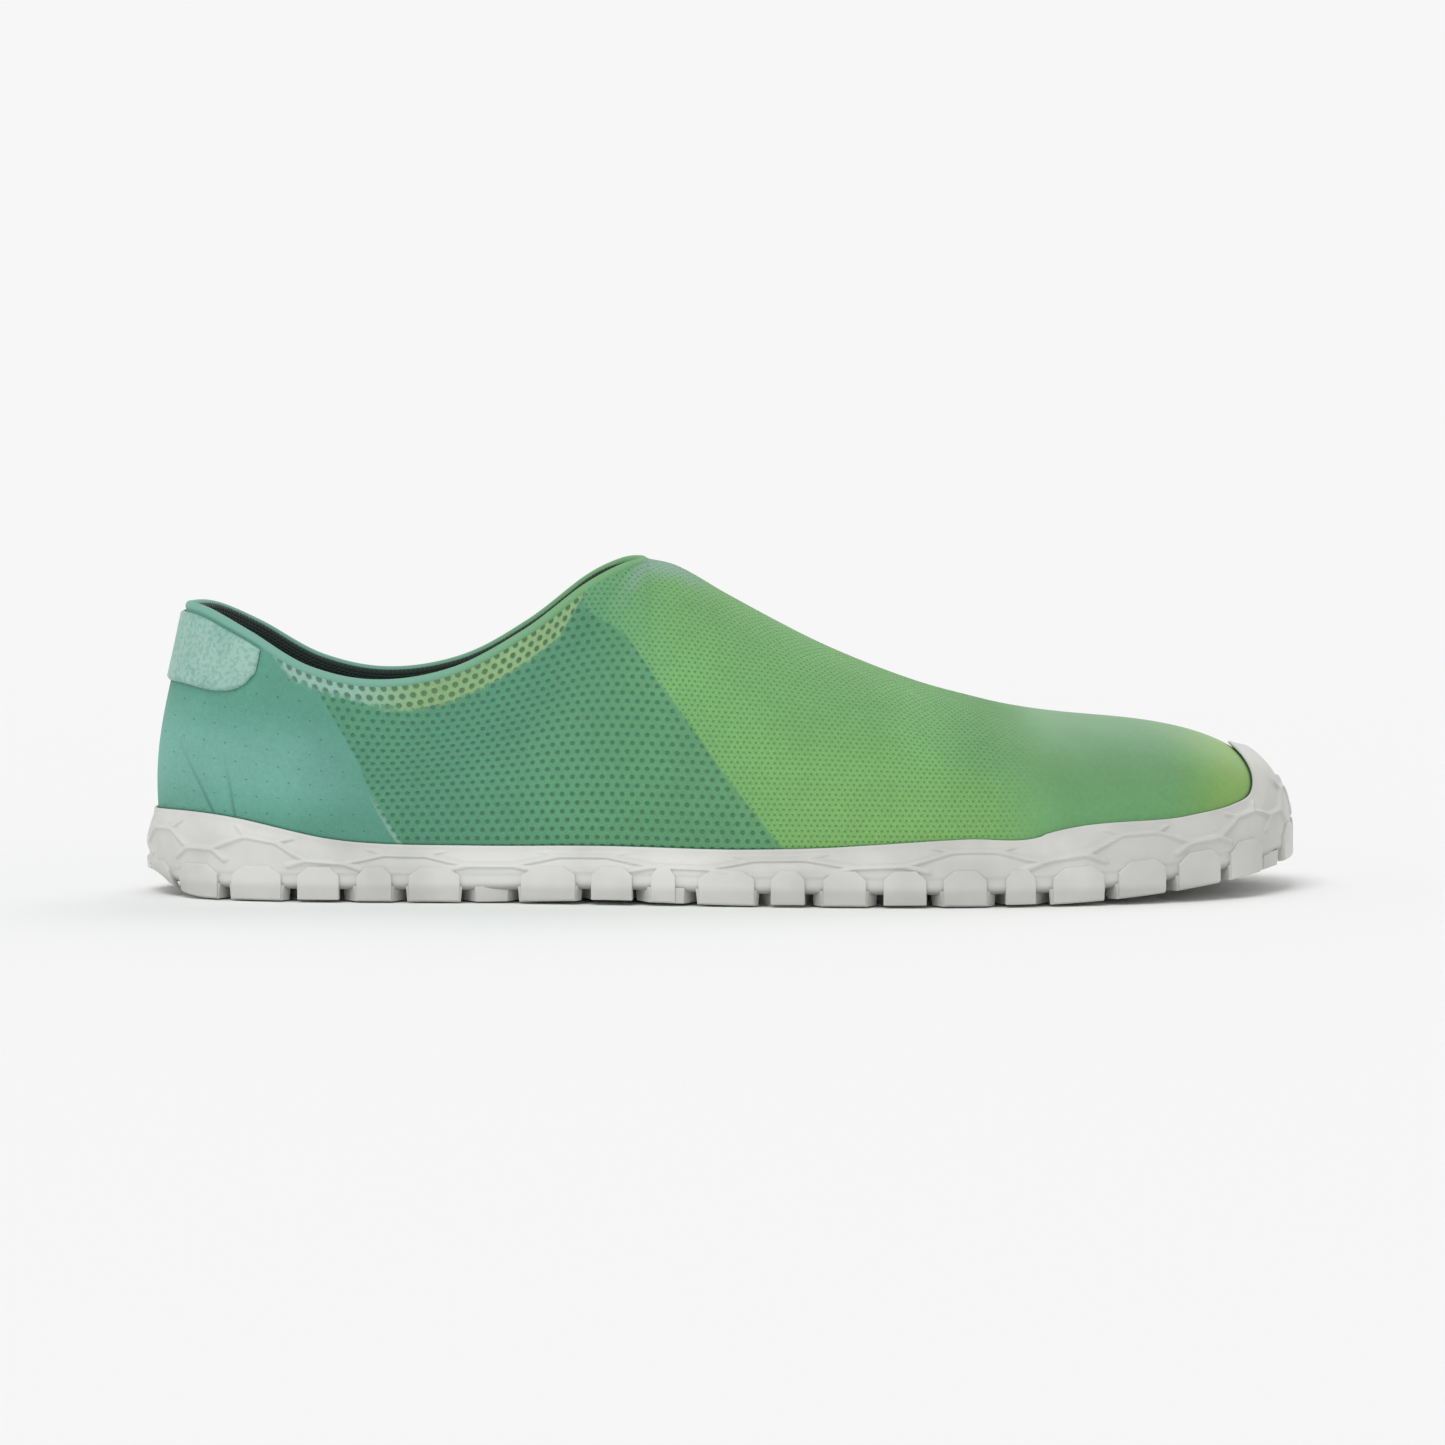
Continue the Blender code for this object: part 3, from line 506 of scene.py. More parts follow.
    def spine(self, ring: np.ndarray) -> np.ndarray:
        """Middle line under a ring of points, one point for each, held back from heel and toe."""
        middle = (ring + ring[-np.arange(len(ring))]) / 2
        half = middle[: len(ring) // 2 + 1]
        order = np.argsort(half[:, 0])
        held = np.clip(middle[:, 0], self.spine_from * self.sole_length, self.spine_to * self.sole_length)
        sideways = np.interp(held, half[order, 0], half[order, 1])
        return np.stack([held, sideways, ring[:, 2]], axis=-1)

    def floor_rings(self, edge: np.ndarray, count: int) -> list[np.ndarray]:
        """Rings that grow from the middle line out to an edge, without the edge itself."""
        middle = self.spine(edge)
        return [edge + (middle - edge) * i / count for i in range(count, 0, -1)]

    def step_at(self, x: float, climb: float) -> float:
        """Step on the outer side at which the surface has this x in the frame, at a given climb."""
        steps = np.linspace(0, self.steps, self.place_samples)
        places = self.surface(steps, np.full(steps.shape, climb))[:, 0] + self.shift[0]
        return float(np.interp(x, np.maximum.accumulate(places), steps))


def srgb(red: int, green: int, blue: int) -> tuple[float, float, float, float]:
    """Linear colour from the 0 to 255 values that a screen shows."""

    def linear(value: float) -> float:
        share = value / 255
        return share / 12.92 if share <= 0.04045 else ((share + 0.055) / 1.055) ** 2.4

    return (linear(red), linear(green), linear(blue), 1.0)


class Socket:
    """An output of a shader node, on which sums are written as Python expressions."""

    def __init__(self, board: "Board", link: Any) -> None:
        """Wrap one output of a node on a board."""
        self.board = board
        self.link = link

    def _math(self, operation: str, *values: Any) -> "Socket":
        """Add a Math node on these values."""
        return self.board.node("ShaderNodeMath", {"operation": operation}, dict(enumerate(values)))

    def __add__(self, other: Any) -> "Socket":
        """Sum."""
        return self._math("ADD", self, other)

    __radd__ = __add__

    def __sub__(self, other: Any) -> "Socket":
        """Difference."""
        return self._math("SUBTRACT", self, other)

    def __rsub__(self, other: Any) -> "Socket":
        """Difference from a number on the left."""
        return self._math("SUBTRACT", other, self)

    def __mul__(self, other: Any) -> "Socket":
        """Product."""
        return self._math("MULTIPLY", self, other)

    __rmul__ = __mul__

    def __truediv__(self, other: Any) -> "Socket":
        """Quotient."""
        return self._math("DIVIDE", self, other)

    def root(self) -> "Socket":
        """Square root."""
        return self._math("SQRT", self)

    def size(self) -> "Socket":
        """Value without its sign."""
        return self._math("ABSOLUTE", self)

    def fraction(self) -> "Socket":
        """Part after the decimal point."""
        return self._math("FRACT", self)

    def whole(self) -> "Socket":
        """Whole number below."""
        return self._math("FLOOR", self)

    def sine(self) -> "Socket":
        """Sine."""
        return self._math("SINE", self)

    def most(self, other: Any) -> "Socket":
        """Larger of the two."""
        return self._math("MAXIMUM", self, other)

    def least(self, other: Any) -> "Socket":
        """Smaller of the two."""
        return self._math("MINIMUM", self, other)

    def step(self, low: float, high: float) -> "Socket":
        """Smooth step from 0 at low to 1 at high, which may be the smaller."""
        rising = low < high
        settings = {"interpolation_type": "SMOOTHSTEP"}
        edges = {1: min(low, high), 2: max(low, high), 3: 0.0 if rising else 1.0, 4: 1.0 if rising else 0.0}
        return self.board.node("ShaderNodeMapRange", settings, {0: self, **edges})


class Board:
    """Node tree of one material."""

    def __init__(self, name: str) -> None:
        """Make an empty material."""
        self.material = bpy.data.materials.new(name)
        self.material.use_nodes = True
        self.tree = self.material.node_tree
        self.tree.nodes.clear()

    def node(self, kind: str, settings: dict[str, Any], sockets: dict[Any, Any], out: Any = 0) -> Socket:
        """Add one node.

        Args:
            kind: Blender's name of the node.
            settings: Properties, set before the sockets; stops is a ramp's list of place and colour.
            sockets: Values or links by the input's name or number.
            out: Name or number of the output that is returned.

        Returns:
            That output.
        """
        made = self.tree.nodes.new(kind)
        stops = settings.get("stops")
        for name, value in settings.items():
            if name != "stops":
                setattr(made, name, value)
        if stops:
            ramp = made.color_ramp
            while len(ramp.elements) > 1:
                ramp.elements.remove(ramp.elements[-1])
            ramp.elements[0].position, ramp.elements[0].color = stops[0]
            for place, colour in stops[1:]:
                ramp.elements.new(place).color = colour
        for name, value in sockets.items():
            if isinstance(value, Socket):
                self.tree.links.new(value.link, made.inputs[name])
            else:
                made.inputs[name].default_value = value
        return Socket(self, made.outputs[out])

    def object_place(self) -> Socket:
        """Object coordinates."""
        return self.node("ShaderNodeTexCoord", {}, {}, "Object")

    def uv(self, name: str) -> tuple[Socket, Socket]:
        """The two parts of a named UV map."""
        place = self.node("ShaderNodeUVMap", {"uv_map": name}, {})
        parts = self.node("ShaderNodeSeparateXYZ", {}, {0: place})
        return parts, Socket(self, parts.link.node.outputs[1])

    def parts(self, vector: Socket) -> tuple[Socket, Socket, Socket]:
        """The three parts of a vector."""
        first = self.node("ShaderNodeSeparateXYZ", {}, {0: vector})
        return tuple(Socket(self, output) for output in first.link.node.outputs)

    def noise(self, scale: float, detail: float = 2.0, vector: Socket | None = None) -> Socket:
        """Noise from 0 to 1, by default on Object coordinates."""
        place = vector or self.object_place()
        return self.node(
            "ShaderNodeTexNoise", {}, {"Vector": place, "Scale": scale, "Detail": detail, "Roughness": 0.55}
        )

    def blend(self, share: Any, first: Any, second: Any, way: str = "MIX") -> Socket:
        """Colour that goes from the first to the second as share goes from 0 to 1."""
        settings = {"data_type": "RGBA", "blend_type": way}
        return self.node("ShaderNodeMix", settings, {0: share, 6: first, 7: second}, 2)

    def bump(self, height: Socket, distance: float, strength: float, under: Socket | None = None) -> Socket:
        """Normal raised by a height from 0 to 1, times a distance in metres."""
        sockets = {"Height": height, "Distance": distance, "Strength": strength}
        if under is not None:
            sockets["Normal"] = under
        return self.node("ShaderNodeBump", {}, sockets)

    def pores(self, across: Socket, down: Socket, pitch: float, radius: float, soft: float) -> Socket:
        """Round pores in staggered rows.

        Args:
            across: Distance along the rows, in metres.
            down: Distance across the rows, in metres.
            pitch: Distance between pores.
            radius: Radius of a pore.
            soft: Width of its soft edge.

        Returns:
            1 in a pore and 0 between them.
        """
        row_height = pitch * math.sqrt(3) / 2
        rows = down / row_height
        odd = (rows.whole() * 0.5).fraction()
        x = ((across / pitch + odd).fraction() - 0.5) * pitch
        y = (rows.fraction() - 0.5) * row_height
        return (x * x + y * y).root().step(radius + soft, radius - soft)

    def seam(self, x: Socket, y: Socket, start: tuple, end: tuple, width: float) -> Socket:
        """Thin line between two places, 1 along its middle, that fades out towards its end.

        Args:
            x: Distance in the direction of the places' first values.
            y: Distance in the direction of their second values.
            start: Place where the line is strongest.
            end: Place where it has faded out.
            width: Distance from the middle at which nothing of it is left.

        Returns:
            How much of the line there is, from 0 to 1.
        """
        run, rise = end[0] - start[0], end[1] - start[1]
        from_x, from_y = x - start[0], y - start[1]
        share = ((from_x * run + from_y * rise) / (run * run + rise * rise)).most(0.0).least(1.0)
        off_x, off_y = from_x - share * run, from_y - share * rise
        return (off_x * off_x + off_y * off_y).root().step(width, 0.0) * (1 - share)

    def surface(self, **sockets: Any) -> bpy.types.Material:
        """Close the tree with a Principled shader that has these inputs."""
        names = {name.replace("_", " "): value for name, value in sockets.items()}
        return self.close(self.node("ShaderNodeBsdfPrincipled", {}, names))

    def close(self, shader: Socket) -> bpy.types.Material:
        """Close the tree with a shader and return the material."""
        output = self.tree.nodes.new("ShaderNodeOutputMaterial")
        self.tree.links.new(shader.link, output.inputs["Surface"])
        return self.material


@dataclass(frozen=True)
class KnitFinish:
    """The knitted upper: lime at the toe to teal at the heel, film over the toe, pores at the middle.

    The UV map place holds the share of the side from heel to toe and the climb. The UV map rim holds the
    distance round the collar and the distance below it, and the UV map side the distance up from the
    edge of the floor and the distance above the sole's lip, all in metres.
    """

    front_foot: float
    front_top: float
    rear_foot: float
    rear_top: float
    strip_change: float
    strip_front_end: float
    strip_rear_end: float
    throat: float
    length: float
    lime: tuple = srgb(122, 166, 74)
    green: tuple = srgb(97, 152, 98)
    flex: tuple = srgb(117, 174, 106)
    flex_low: tuple = srgb(128, 180, 96)
    middle_front: tuple = srgb(97, 155, 106)
    middle_rear: tuple = srgb(88, 152, 120)
    teal: tuple = srgb(92, 156, 136)
    # colour of the painted highlight low on the back of the heel
    highlight_teal: tuple = srgb(120, 180, 166)
    strip_lime: tuple = srgb(146, 184, 128)
    strip_aqua: tuple = srgb(150, 192, 176)
    instep: tuple = srgb(140, 174, 156)
    pore: tuple = srgb(34, 80, 58)
    # colour of painted shade: a dark line just above the sole's lip and two thin heel creases
    seam: tuple = srgb(52, 104, 92)
    film_from: float = 0.059
    film_full: float = 0.077
    lime_from: float = 0.100
    lime_full: float = 0.122
    highlight_height: float = 0.028
    pore_pitch: float = 0.0023
    pore_radius: float = 0.00050
    strip_pitch: float = 0.0025
    strip_radius: float = 0.00066
    strip_front_width: float = 0.0074
    strip_rear_width: float = 0.0038
    flex_pitch: float = 0.0014
    flex_radius: float = 0.00026
    loop_pitch: float = 0.0008
    crisp: float = 0.0014
    highlight_reach: float = 0.017
    highlight_flat: float = 0.002
    change_half: float = 0.035
    strip_ragged: float = 0.0036
    strip_grain: float = 560.0
    throat_near: float = 0.015
    throat_far: float = 0.055
    pore_soft: float = 0.00022
    strip_soft: float = 0.00024
    flex_soft: float = 0.00014
    sparse_pitch: float = 0.0050
    sparse_radius: float = 0.00020
    sparse_soft: float = 0.00010
    shade_line_width: float = 0.0007
    # reach of the painted shade above the sole's lip, and where it is at full strength
    contact_shade: float = 0.0011
    contact_shade_full: float = 0.0003
    knit_depth: float = 0.00055
    cloud_depth: float = 0.0012
    heel_crease_shades: tuple = (
        # start and end of a thin crease of painted shade: place along the shoe, distance above the sole's
        # lip
        ((-0.1175, 0.0004), (-0.1270, 0.0190)),
        ((-0.1125, 0.0004), (-0.1150, 0.0150)),
    )

    def material(self) -> bpy.types.Material:
        """Build the material."""
        b = Board("upper_knit")
        along, climb = b.uv("place")
        around, below = b.uv("rim")
        up, above = b.uv("side")
        x, _, _ = b.parts(b.object_place())
        wide, fine = b.noise(38.0, 3.0), b.noise(900.0, 2.0)
        crisp = self.crisp
        front = along - (self.front_foot + (self.front_top - self.front_foot) * climb)
        rear = along - (self.rear_foot + (self.rear_top - self.rear_foot) * climb)
        middle = front.step(crisp, -crisp) * rear.step(-crisp, crisp)
        film = x.step(self.film_from, self.film_full)
        flexed = front.step(-crisp, crisp) * (1 - film)
        base = b.node(
            "ShaderNodeValToRGB",
            {
                "stops": (
                    (0.00, self.teal),
                    (0.30, self.teal),
                    (0.46, self.flex),
                    (0.66, self.flex),
                    (0.80, self.green),
                    (1.00, self.green),
                )
            },
            {"Fac": x / self.length + 0.5},
        )
        low_front = flexed * climb.step(0.55, 0.15) * x.step(-0.01, 0.03)
        base = b.blend(low_front * 0.6, base, self.flex_low)
        # painted highlight: a paler band low on the back of the heel
        off_highlight = (up - self.highlight_height).size()
        heel_highlight = off_highlight.step(self.highlight_reach, self.highlight_flat) * x.step(-0.075, -0.100)
        base = b.blend(heel_highlight * 0.75, base, self.highlight_teal)
        base = b.blend(x.step(self.lime_from, self.lime_full), base, self.lime)
        dark = b.node(
            "ShaderNodeValToRGB",
            {"stops": ((self.rear_foot, self.middle_rear), (self.front_foot, self.middle_front))},
            {"Fac": along},
        )
        colour = b.blend(middle, base, dark)
        half = self.change_half
        front_side = along.step(self.strip_change - half, self.strip_change + half)
        front_end = along.step(self.strip_front_end + 0.02, self.strip_front_end - 0.015)
        rear_end = along.step(self.strip_rear_end - 0.02, self.strip_rear_end + 0.015)
        width = (front_side * self.strip_front_width + (1 - front_side) * self.strip_rear_width) * front_end
        width = width * rear_end
        ragged = (b.noise(self.strip_grain, 2.0) - 0.5) * self.strip_ragged
        strip = (width + ragged * front_end * rear_end - below).step(-0.0006, 0.0010)
        strip = strip * width.step(0.0, 0.001)
        pale = b.blend(front_side, self.strip_aqua, self.strip_lime)
        colour = b.blend(strip * 0.9, colour, pale)
        off_throat = (along - self.throat).size()
        near_throat = off_throat.step(self.throat_far, self.throat_near) * below.step(0.016, 0.006)
        colour = b.blend(near_throat * 0.8, colour, self.instep)
        large = b.pores(x, up, self.pore_pitch, self.pore_radius, self.pore_soft)
        large = large * middle * (1 - strip) * 0.75
        open_pores = b.pores(around, below, self.strip_pitch, self.strip_radius, self.strip_soft) * strip
        small = b.pores(x, up, self.flex_pitch, self.flex_radius, self.flex_soft) * flexed * 0.55
        sparse = b.pores(x, up, self.sparse_pitch, self.sparse_radius, self.sparse_soft)
        sparse = sparse * rear.step(-0.004, -0.012) * 0.5
        holes = large.most(open_pores).most(small).most(sparse)
        # painted highlight: a pale line along the rear edge of the pored zone, low on the side
        rear_edge_highlight = rear.size().step(0.0028, 0.0006) * climb.step(0.45, 0.10)
        colour = b.blend(rear_edge_highlight * 0.75, colour, self.strip_aqua)
        shade = b.node("ShaderNodeMapRange", {}, {0: wide, 1: 0.3, 2: 0.7, 3: 0.91, 4: 1.07})
        grain = b.node("ShaderNodeMapRange", {}, {0: fine, 1: 0.3, 2: 0.7, 3: 0.94, 4: 1.05})
        tint = b.node("ShaderNodeCombineColor", {}, {0: shade * grain, 1: shade * grain, 2: shade * grain})
        colour = b.blend(1.0, colour, tint, "MULTIPLY")
        colour = b.blend(holes * (0.70 + (wide - 0.5) * 0.5), colour, self.pore)
        # painted shade: a dark line just above the sole's lip, where the upper meets the sole, and in two
        # thin heel creases; the same mask lowers the bump
        painted_shade = above.step(self.contact_shade, self.contact_shade_full) * 0.75
        for start, end in self.heel_crease_shades:
            painted_shade = painted_shade.most(b.seam(x, above, start, end, self.shade_line_width) * 0.6)
        colour = b.blend(painted_shade, colour, self.seam)
        columns = (around * (2 * math.pi / self.loop_pitch)).sine()
        courses = (below * (2 * math.pi / (self.loop_pitch * 0.7)) + columns * 1.2).sine()
        loops = (columns * 0.35 + courses * 0.65) * 0.5 + 0.5
        rough = 0.82 - film * 0.26 + (fine - 0.5) * 0.1
        height = loops * (1 - film * 0.96) * 0.14 + (1 - holes) * 0.62 + (1 - painted_shade) * 0.24
        normal = b.bump(height, self.knit_depth, 0.9)
        normal = b.bump(wide, self.cloud_depth, 0.35, normal)
        return b.surface(
            Base_Color=colour,
            Roughness=rough,
            Coat_Weight=film * 0.10,
            Coat_Roughness=0.42,
            Sheen_Weight=0.05,
            Sheen_Roughness=0.5,
            Normal=normal,
        )


@dataclass(frozen=True)
class LiningFinish:
    """Dark knitted lining inside the upper."""

    dark: tuple = srgb(34, 50, 44)
    light: tuple = srgb(58, 78, 70)
    loop_pitch: float = 0.0011

    def material(self) -> bpy.types.Material:
        """Build the material."""
        b = Board("upper_lining")
        around, below = b.uv("rim")
        columns = (around * (2 * math.pi / self.loop_pitch)).sine()
        courses = (below * (2 * math.pi / (self.loop_pitch * 0.7)) + columns).sine()
        loops = (columns * 0.4 + courses * 0.6) * 0.5 + 0.5
        colour = b.blend(loops * 0.5 + (b.noise(60.0) - 0.5) * 0.4, self.dark, self.light)
        return b.surface(
            Base_Color=colour, Roughness=0.92, Sheen_Weight=0.15, Normal=b.bump(loops, 0.0003, 0.8)
        )


@dataclass(frozen=True)
class RubberFinish:
    """Pale grey moulded rubber, satin, with painted shade low down: much between the lugs and little on
    them.

    Between the lugs, the UV map flat holds the height above the floor before the sole is bent.
    """

    name: str = "sole_rubber"
    bent: bool = False
    low_shade_share: float = 0.25
    light: tuple = srgb(220, 220, 217)
    shade: tuple = srgb(194, 194, 190)
    # colour of the painted shade low down
    low: tuple = srgb(112, 111, 105)
    low_shade_from: float = 0.0052
    low_shade_to: float = 0.0030

    def material(self) -> bpy.types.Material:
        """Build the material."""
        b = Board(self.name)
        place = b.object_place()
        z = b.uv("flat")[0] if self.bent else b.parts(place)[2]
        clouds = b.noise(26.0, 4.0, place)
        skin = b.noise(1400.0, 2.0, place)
        specks = b.noise(240.0, 3.0, place)
        colour = b.blend(clouds.step(0.35, 0.70), self.light, self.shade)
        # painted shade low down, broken up by speckles
        shade_speckle = 0.6 + specks * 0.4
        colour = b.blend(z.step(self.low_shade_from, self.low_shade_to) * shade_speckle * self.low_shade_share, colour, self.low)
        rough = 0.46 + clouds * 0.12 + (skin - 0.5) * 0.10
        normal = b.bump(skin, 0.00006, 0.5)
        normal = b.bump(clouds, 0.0010, 0.12, normal)
        return b.surface(
            Base_Color=colour,
            Roughness=rough,
            Specular_IOR_Level=0.45,
            Normal=normal,
        )


@dataclass(frozen=True)
class FoamFinish:
    """Dark textile face of the insole."""

    dark: tuple = srgb(30, 38, 36)
    light: tuple = srgb(54, 64, 60)
    weave: float = 0.0013

    def material(self) -> bpy.types.Material:
        """Build the material."""
        b = Board("insole_foam")
        x, y, _ = b.parts(b.object_place())
        warp = ((x + y) * (2 * math.pi / self.weave)).sine()
        weft = ((x - y) * (2 * math.pi / self.weave)).sine()
        weave = (warp * weft) * 0.5 + 0.5
        colour = b.blend(weave * 0.6 + (b.noise(40.0) - 0.5) * 0.5, self.dark, self.light)
        return b.surface(Base_Color=colour, Roughness=0.95, Normal=b.bump(weave, 0.00025, 0.8))


@dataclass(frozen=True)
class PatchFinish:
    """Pale mottled film of the heel patch."""

    pale: tuple = srgb(156, 194, 182)
    deep: tuple = srgb(112, 162, 148)
    speck: float = 900.0

    def material(self) -> bpy.types.Material:
        """Build the material."""
        b = Board("patch_film")
        mottle = b.noise(self.speck, 3.0)
        cloud = b.noise(95.0, 3.0)
        share = mottle.step(0.44, 0.62) * 0.5 + cloud.step(0.36, 0.68) * 0.3
        colour = b.blend(share, self.pale, self.deep)
        return b.surface(
            Base_Color=colour, Roughness=0.55 + (mottle - 0.5) * 0.2, Normal=b.bump(mottle, 0.00018, 0.7)
        )


@dataclass(frozen=True)
class EdgeFinish:
    """Knitted edge of the collar."""

    teal: tuple = srgb(122, 174, 158)
    green: tuple = srgb(118, 170, 120)
    turn: float = -0.06

    def material(self) -> bpy.types.Material:
        """Build the material."""
        b = Board("collar_edge")
        x, _, _ = b.parts(b.object_place())
        fine = b.noise(900.0)
        colour = b.blend(x.step(self.turn - 0.03, self.turn + 0.03), self.teal, self.green)
        return b.surface(Base_Color=colour, Roughness=0.85, Normal=b.bump(fine, 0.00012, 0.6))


@dataclass(frozen=True)
class FloorFinish:
    """Plain pale floor that fades into the backdrop with distance."""

    tone: float = 0.92
    backdrop: tuple = srgb(247, 247, 247)
    near: float = 0.45
    beyond: float = 1.5

    def material(self) -> bpy.types.Material:
        """Build the material."""
        b = Board("floor")
        x, y, _ = b.parts(b.object_place())
        distance = (x * x + y * y).root().step(self.near, self.beyond)
        paper = b.node("ShaderNodeBsdfDiffuse", {}, {"Color": (self.tone, self.tone, self.tone, 1)})
        glow = b.node("ShaderNodeEmission", {}, {"Color": self.backdrop, "Strength": 1.0})
        return b.close(b.node("ShaderNodeMixShader", {}, {0: distance, 1: paper, 2: glow}))


def new_object(name: str, vertices: np.ndarray, faces: list[tuple]) -> bpy.types.Object:
    """Object with this mesh, linked to the scene."""
    mesh = bpy.data.meshes.new(name)
    mesh.from_pydata(np.asarray(vertices, float).tolist(), [], faces)
    mesh.update()
    made = bpy.data.objects.new(name, mesh)
    bpy.context.scene.collection.objects.link(made)
    return made


def closed_up(made: bpy.types.Object) -> None:
    """Merge doubled points, drop the faces that collapse and turn the rest outwards."""
    bm = bmesh.new()
    bm.from_mesh(made.data)
    bmesh.ops.remove_doubles(bm, verts=bm.verts, dist=MERGE)
    bmesh.ops.dissolve_degenerate(bm, edges=bm.edges, dist=MERGE)
    bmesh.ops.recalc_face_normals(bm, faces=bm.faces)
    bm.to_mesh(made.data)
    bm.free()


def write_uv(made: bpy.types.Object, name: str, places: np.ndarray) -> None:
    """Add a UV map that gives each corner the place of its point."""
    layer = made.data.uv_layers.new(name=name)
    corners = np.empty(len(made.data.loops), dtype=np.int64)
    made.data.loops.foreach_get("vertex_index", corners)
    layer.data.foreach_set("uv", places[corners].ravel())


def baked(made: bpy.types.Object) -> None:
    """Replace an object's mesh by what its modifiers make of it, and remove them."""
    graph = bpy.context.evaluated_depsgraph_get()
    graph.update()
    result = bpy.data.meshes.new_from_object(made.evaluated_get(graph))
    made.modifiers.clear()
    made.data = result
    result.name = made.name


def moved(made: bpy.types.Object, place: Callable[[np.ndarray], np.ndarray]) -> None:
    """Put every point of an object's mesh where place says."""
    points = np.empty(len(made.data.vertices) * 3)
    made.data.vertices.foreach_get("co", points)
    made.data.vertices.foreach_set("co", place(points.reshape(-1, 3)).ravel())
    made.data.update()


def bevelled(made: bpy.types.Object, width: float, segments: int, angle: float) -> None:
    """Round the edges at which faces turn by more than an angle in degrees."""
    bevel = made.modifiers.new("bevel", "BEVEL")
    bevel.width, bevel.segments, bevel.limit_method = width, segments, "ANGLE"
    bevel.angle_limit = math.radians(angle)
    baked(made)


def dressed(
    made: bpy.types.Object,
    materials: Sequence[bpy.types.Material],
    slot: str,
    *nodes: str,
    sharp: float | None = None,
) -> None:
    """Give a piece smooth shading, its finish and its place in the frame.

    Args:
        made: The piece.
        materials: Its materials, in slot order.
        slot: The record's material slot; not used.
        nodes: Solids that it stands for.
        sharp: Angle in degrees from which an edge stays sharp; none does by default.
    """
    made.data.shade_smooth()
    if sharp is not None:
        made.data.set_sharp_from_angle(angle=math.radians(sharp))
    if made.data.materials:
        made.data.materials.clear()
    for material in materials:
        made.data.materials.append(material)
    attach(made, "root")
    if nodes:
        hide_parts(*nodes)
    made.data.calc_loop_triangles()
    log.info("%s: %d triangles", made.name, len(made.data.loop_triangles))


class NodeTree:
    """A Geometry Nodes tree that is built in the script and run once on an object."""

    def __init__(self, name: str) -> None:
        """Make a tree with one geometry in and one out."""
        self.tree = bpy.data.node_groups.new(name, "GeometryNodeTree")
        self.tree.interface.new_socket("Geometry", in_out="INPUT", socket_type="NodeSocketGeometry")
        self.tree.interface.new_socket("Geometry", in_out="OUTPUT", socket_type="NodeSocketGeometry")
        self.entry = self.tree.nodes.new("NodeGroupInput")
        self.values: dict[str, Any] = {}

    def size(self, name: str, value: float) -> Any:
        """Add a named number to the tree's inputs and return its socket."""
        made = self.tree.interface.new_socket(name, in_out="INPUT", socket_type="NodeSocketFloat")
        self.values[made.identifier] = value
        return self.entry.outputs[name]

    def node(self, kind: str, settings: dict[str, Any], sockets: dict[Any, Any]) -> Any:
        """Add a node with its settings, values and links, and return it."""
        made = self.tree.nodes.new(kind)
        for name, value in settings.items():
            setattr(made, name, value)
        for name, value in sockets.items():
            if isinstance(value, bpy.types.NodeSocket):
                self.tree.links.new(value, made.inputs[name])
            else:
                made.inputs[name].default_value = value
        return made

    def run(self, made: bpy.types.Object, geometry: Any, material: bpy.types.Material) -> None:
        """Close the tree, run it on the object and keep the mesh that it makes."""
        real = self.node("GeometryNodeRealizeInstances", {}, {0: geometry})
        settings = {"Geometry": real.outputs[0], "Material": material}
        painted = self.node("GeometryNodeSetMaterial", {}, settings)
        leave = self.tree.nodes.new("NodeGroupOutput")
        self.tree.links.new(painted.outputs[0], leave.inputs[0])
        modifier = made.modifiers.new("nodes", "NODES")
        modifier.node_group = self.tree
        for identifier, value in self.values.items():
            modifier[identifier] = value
        baked(made)


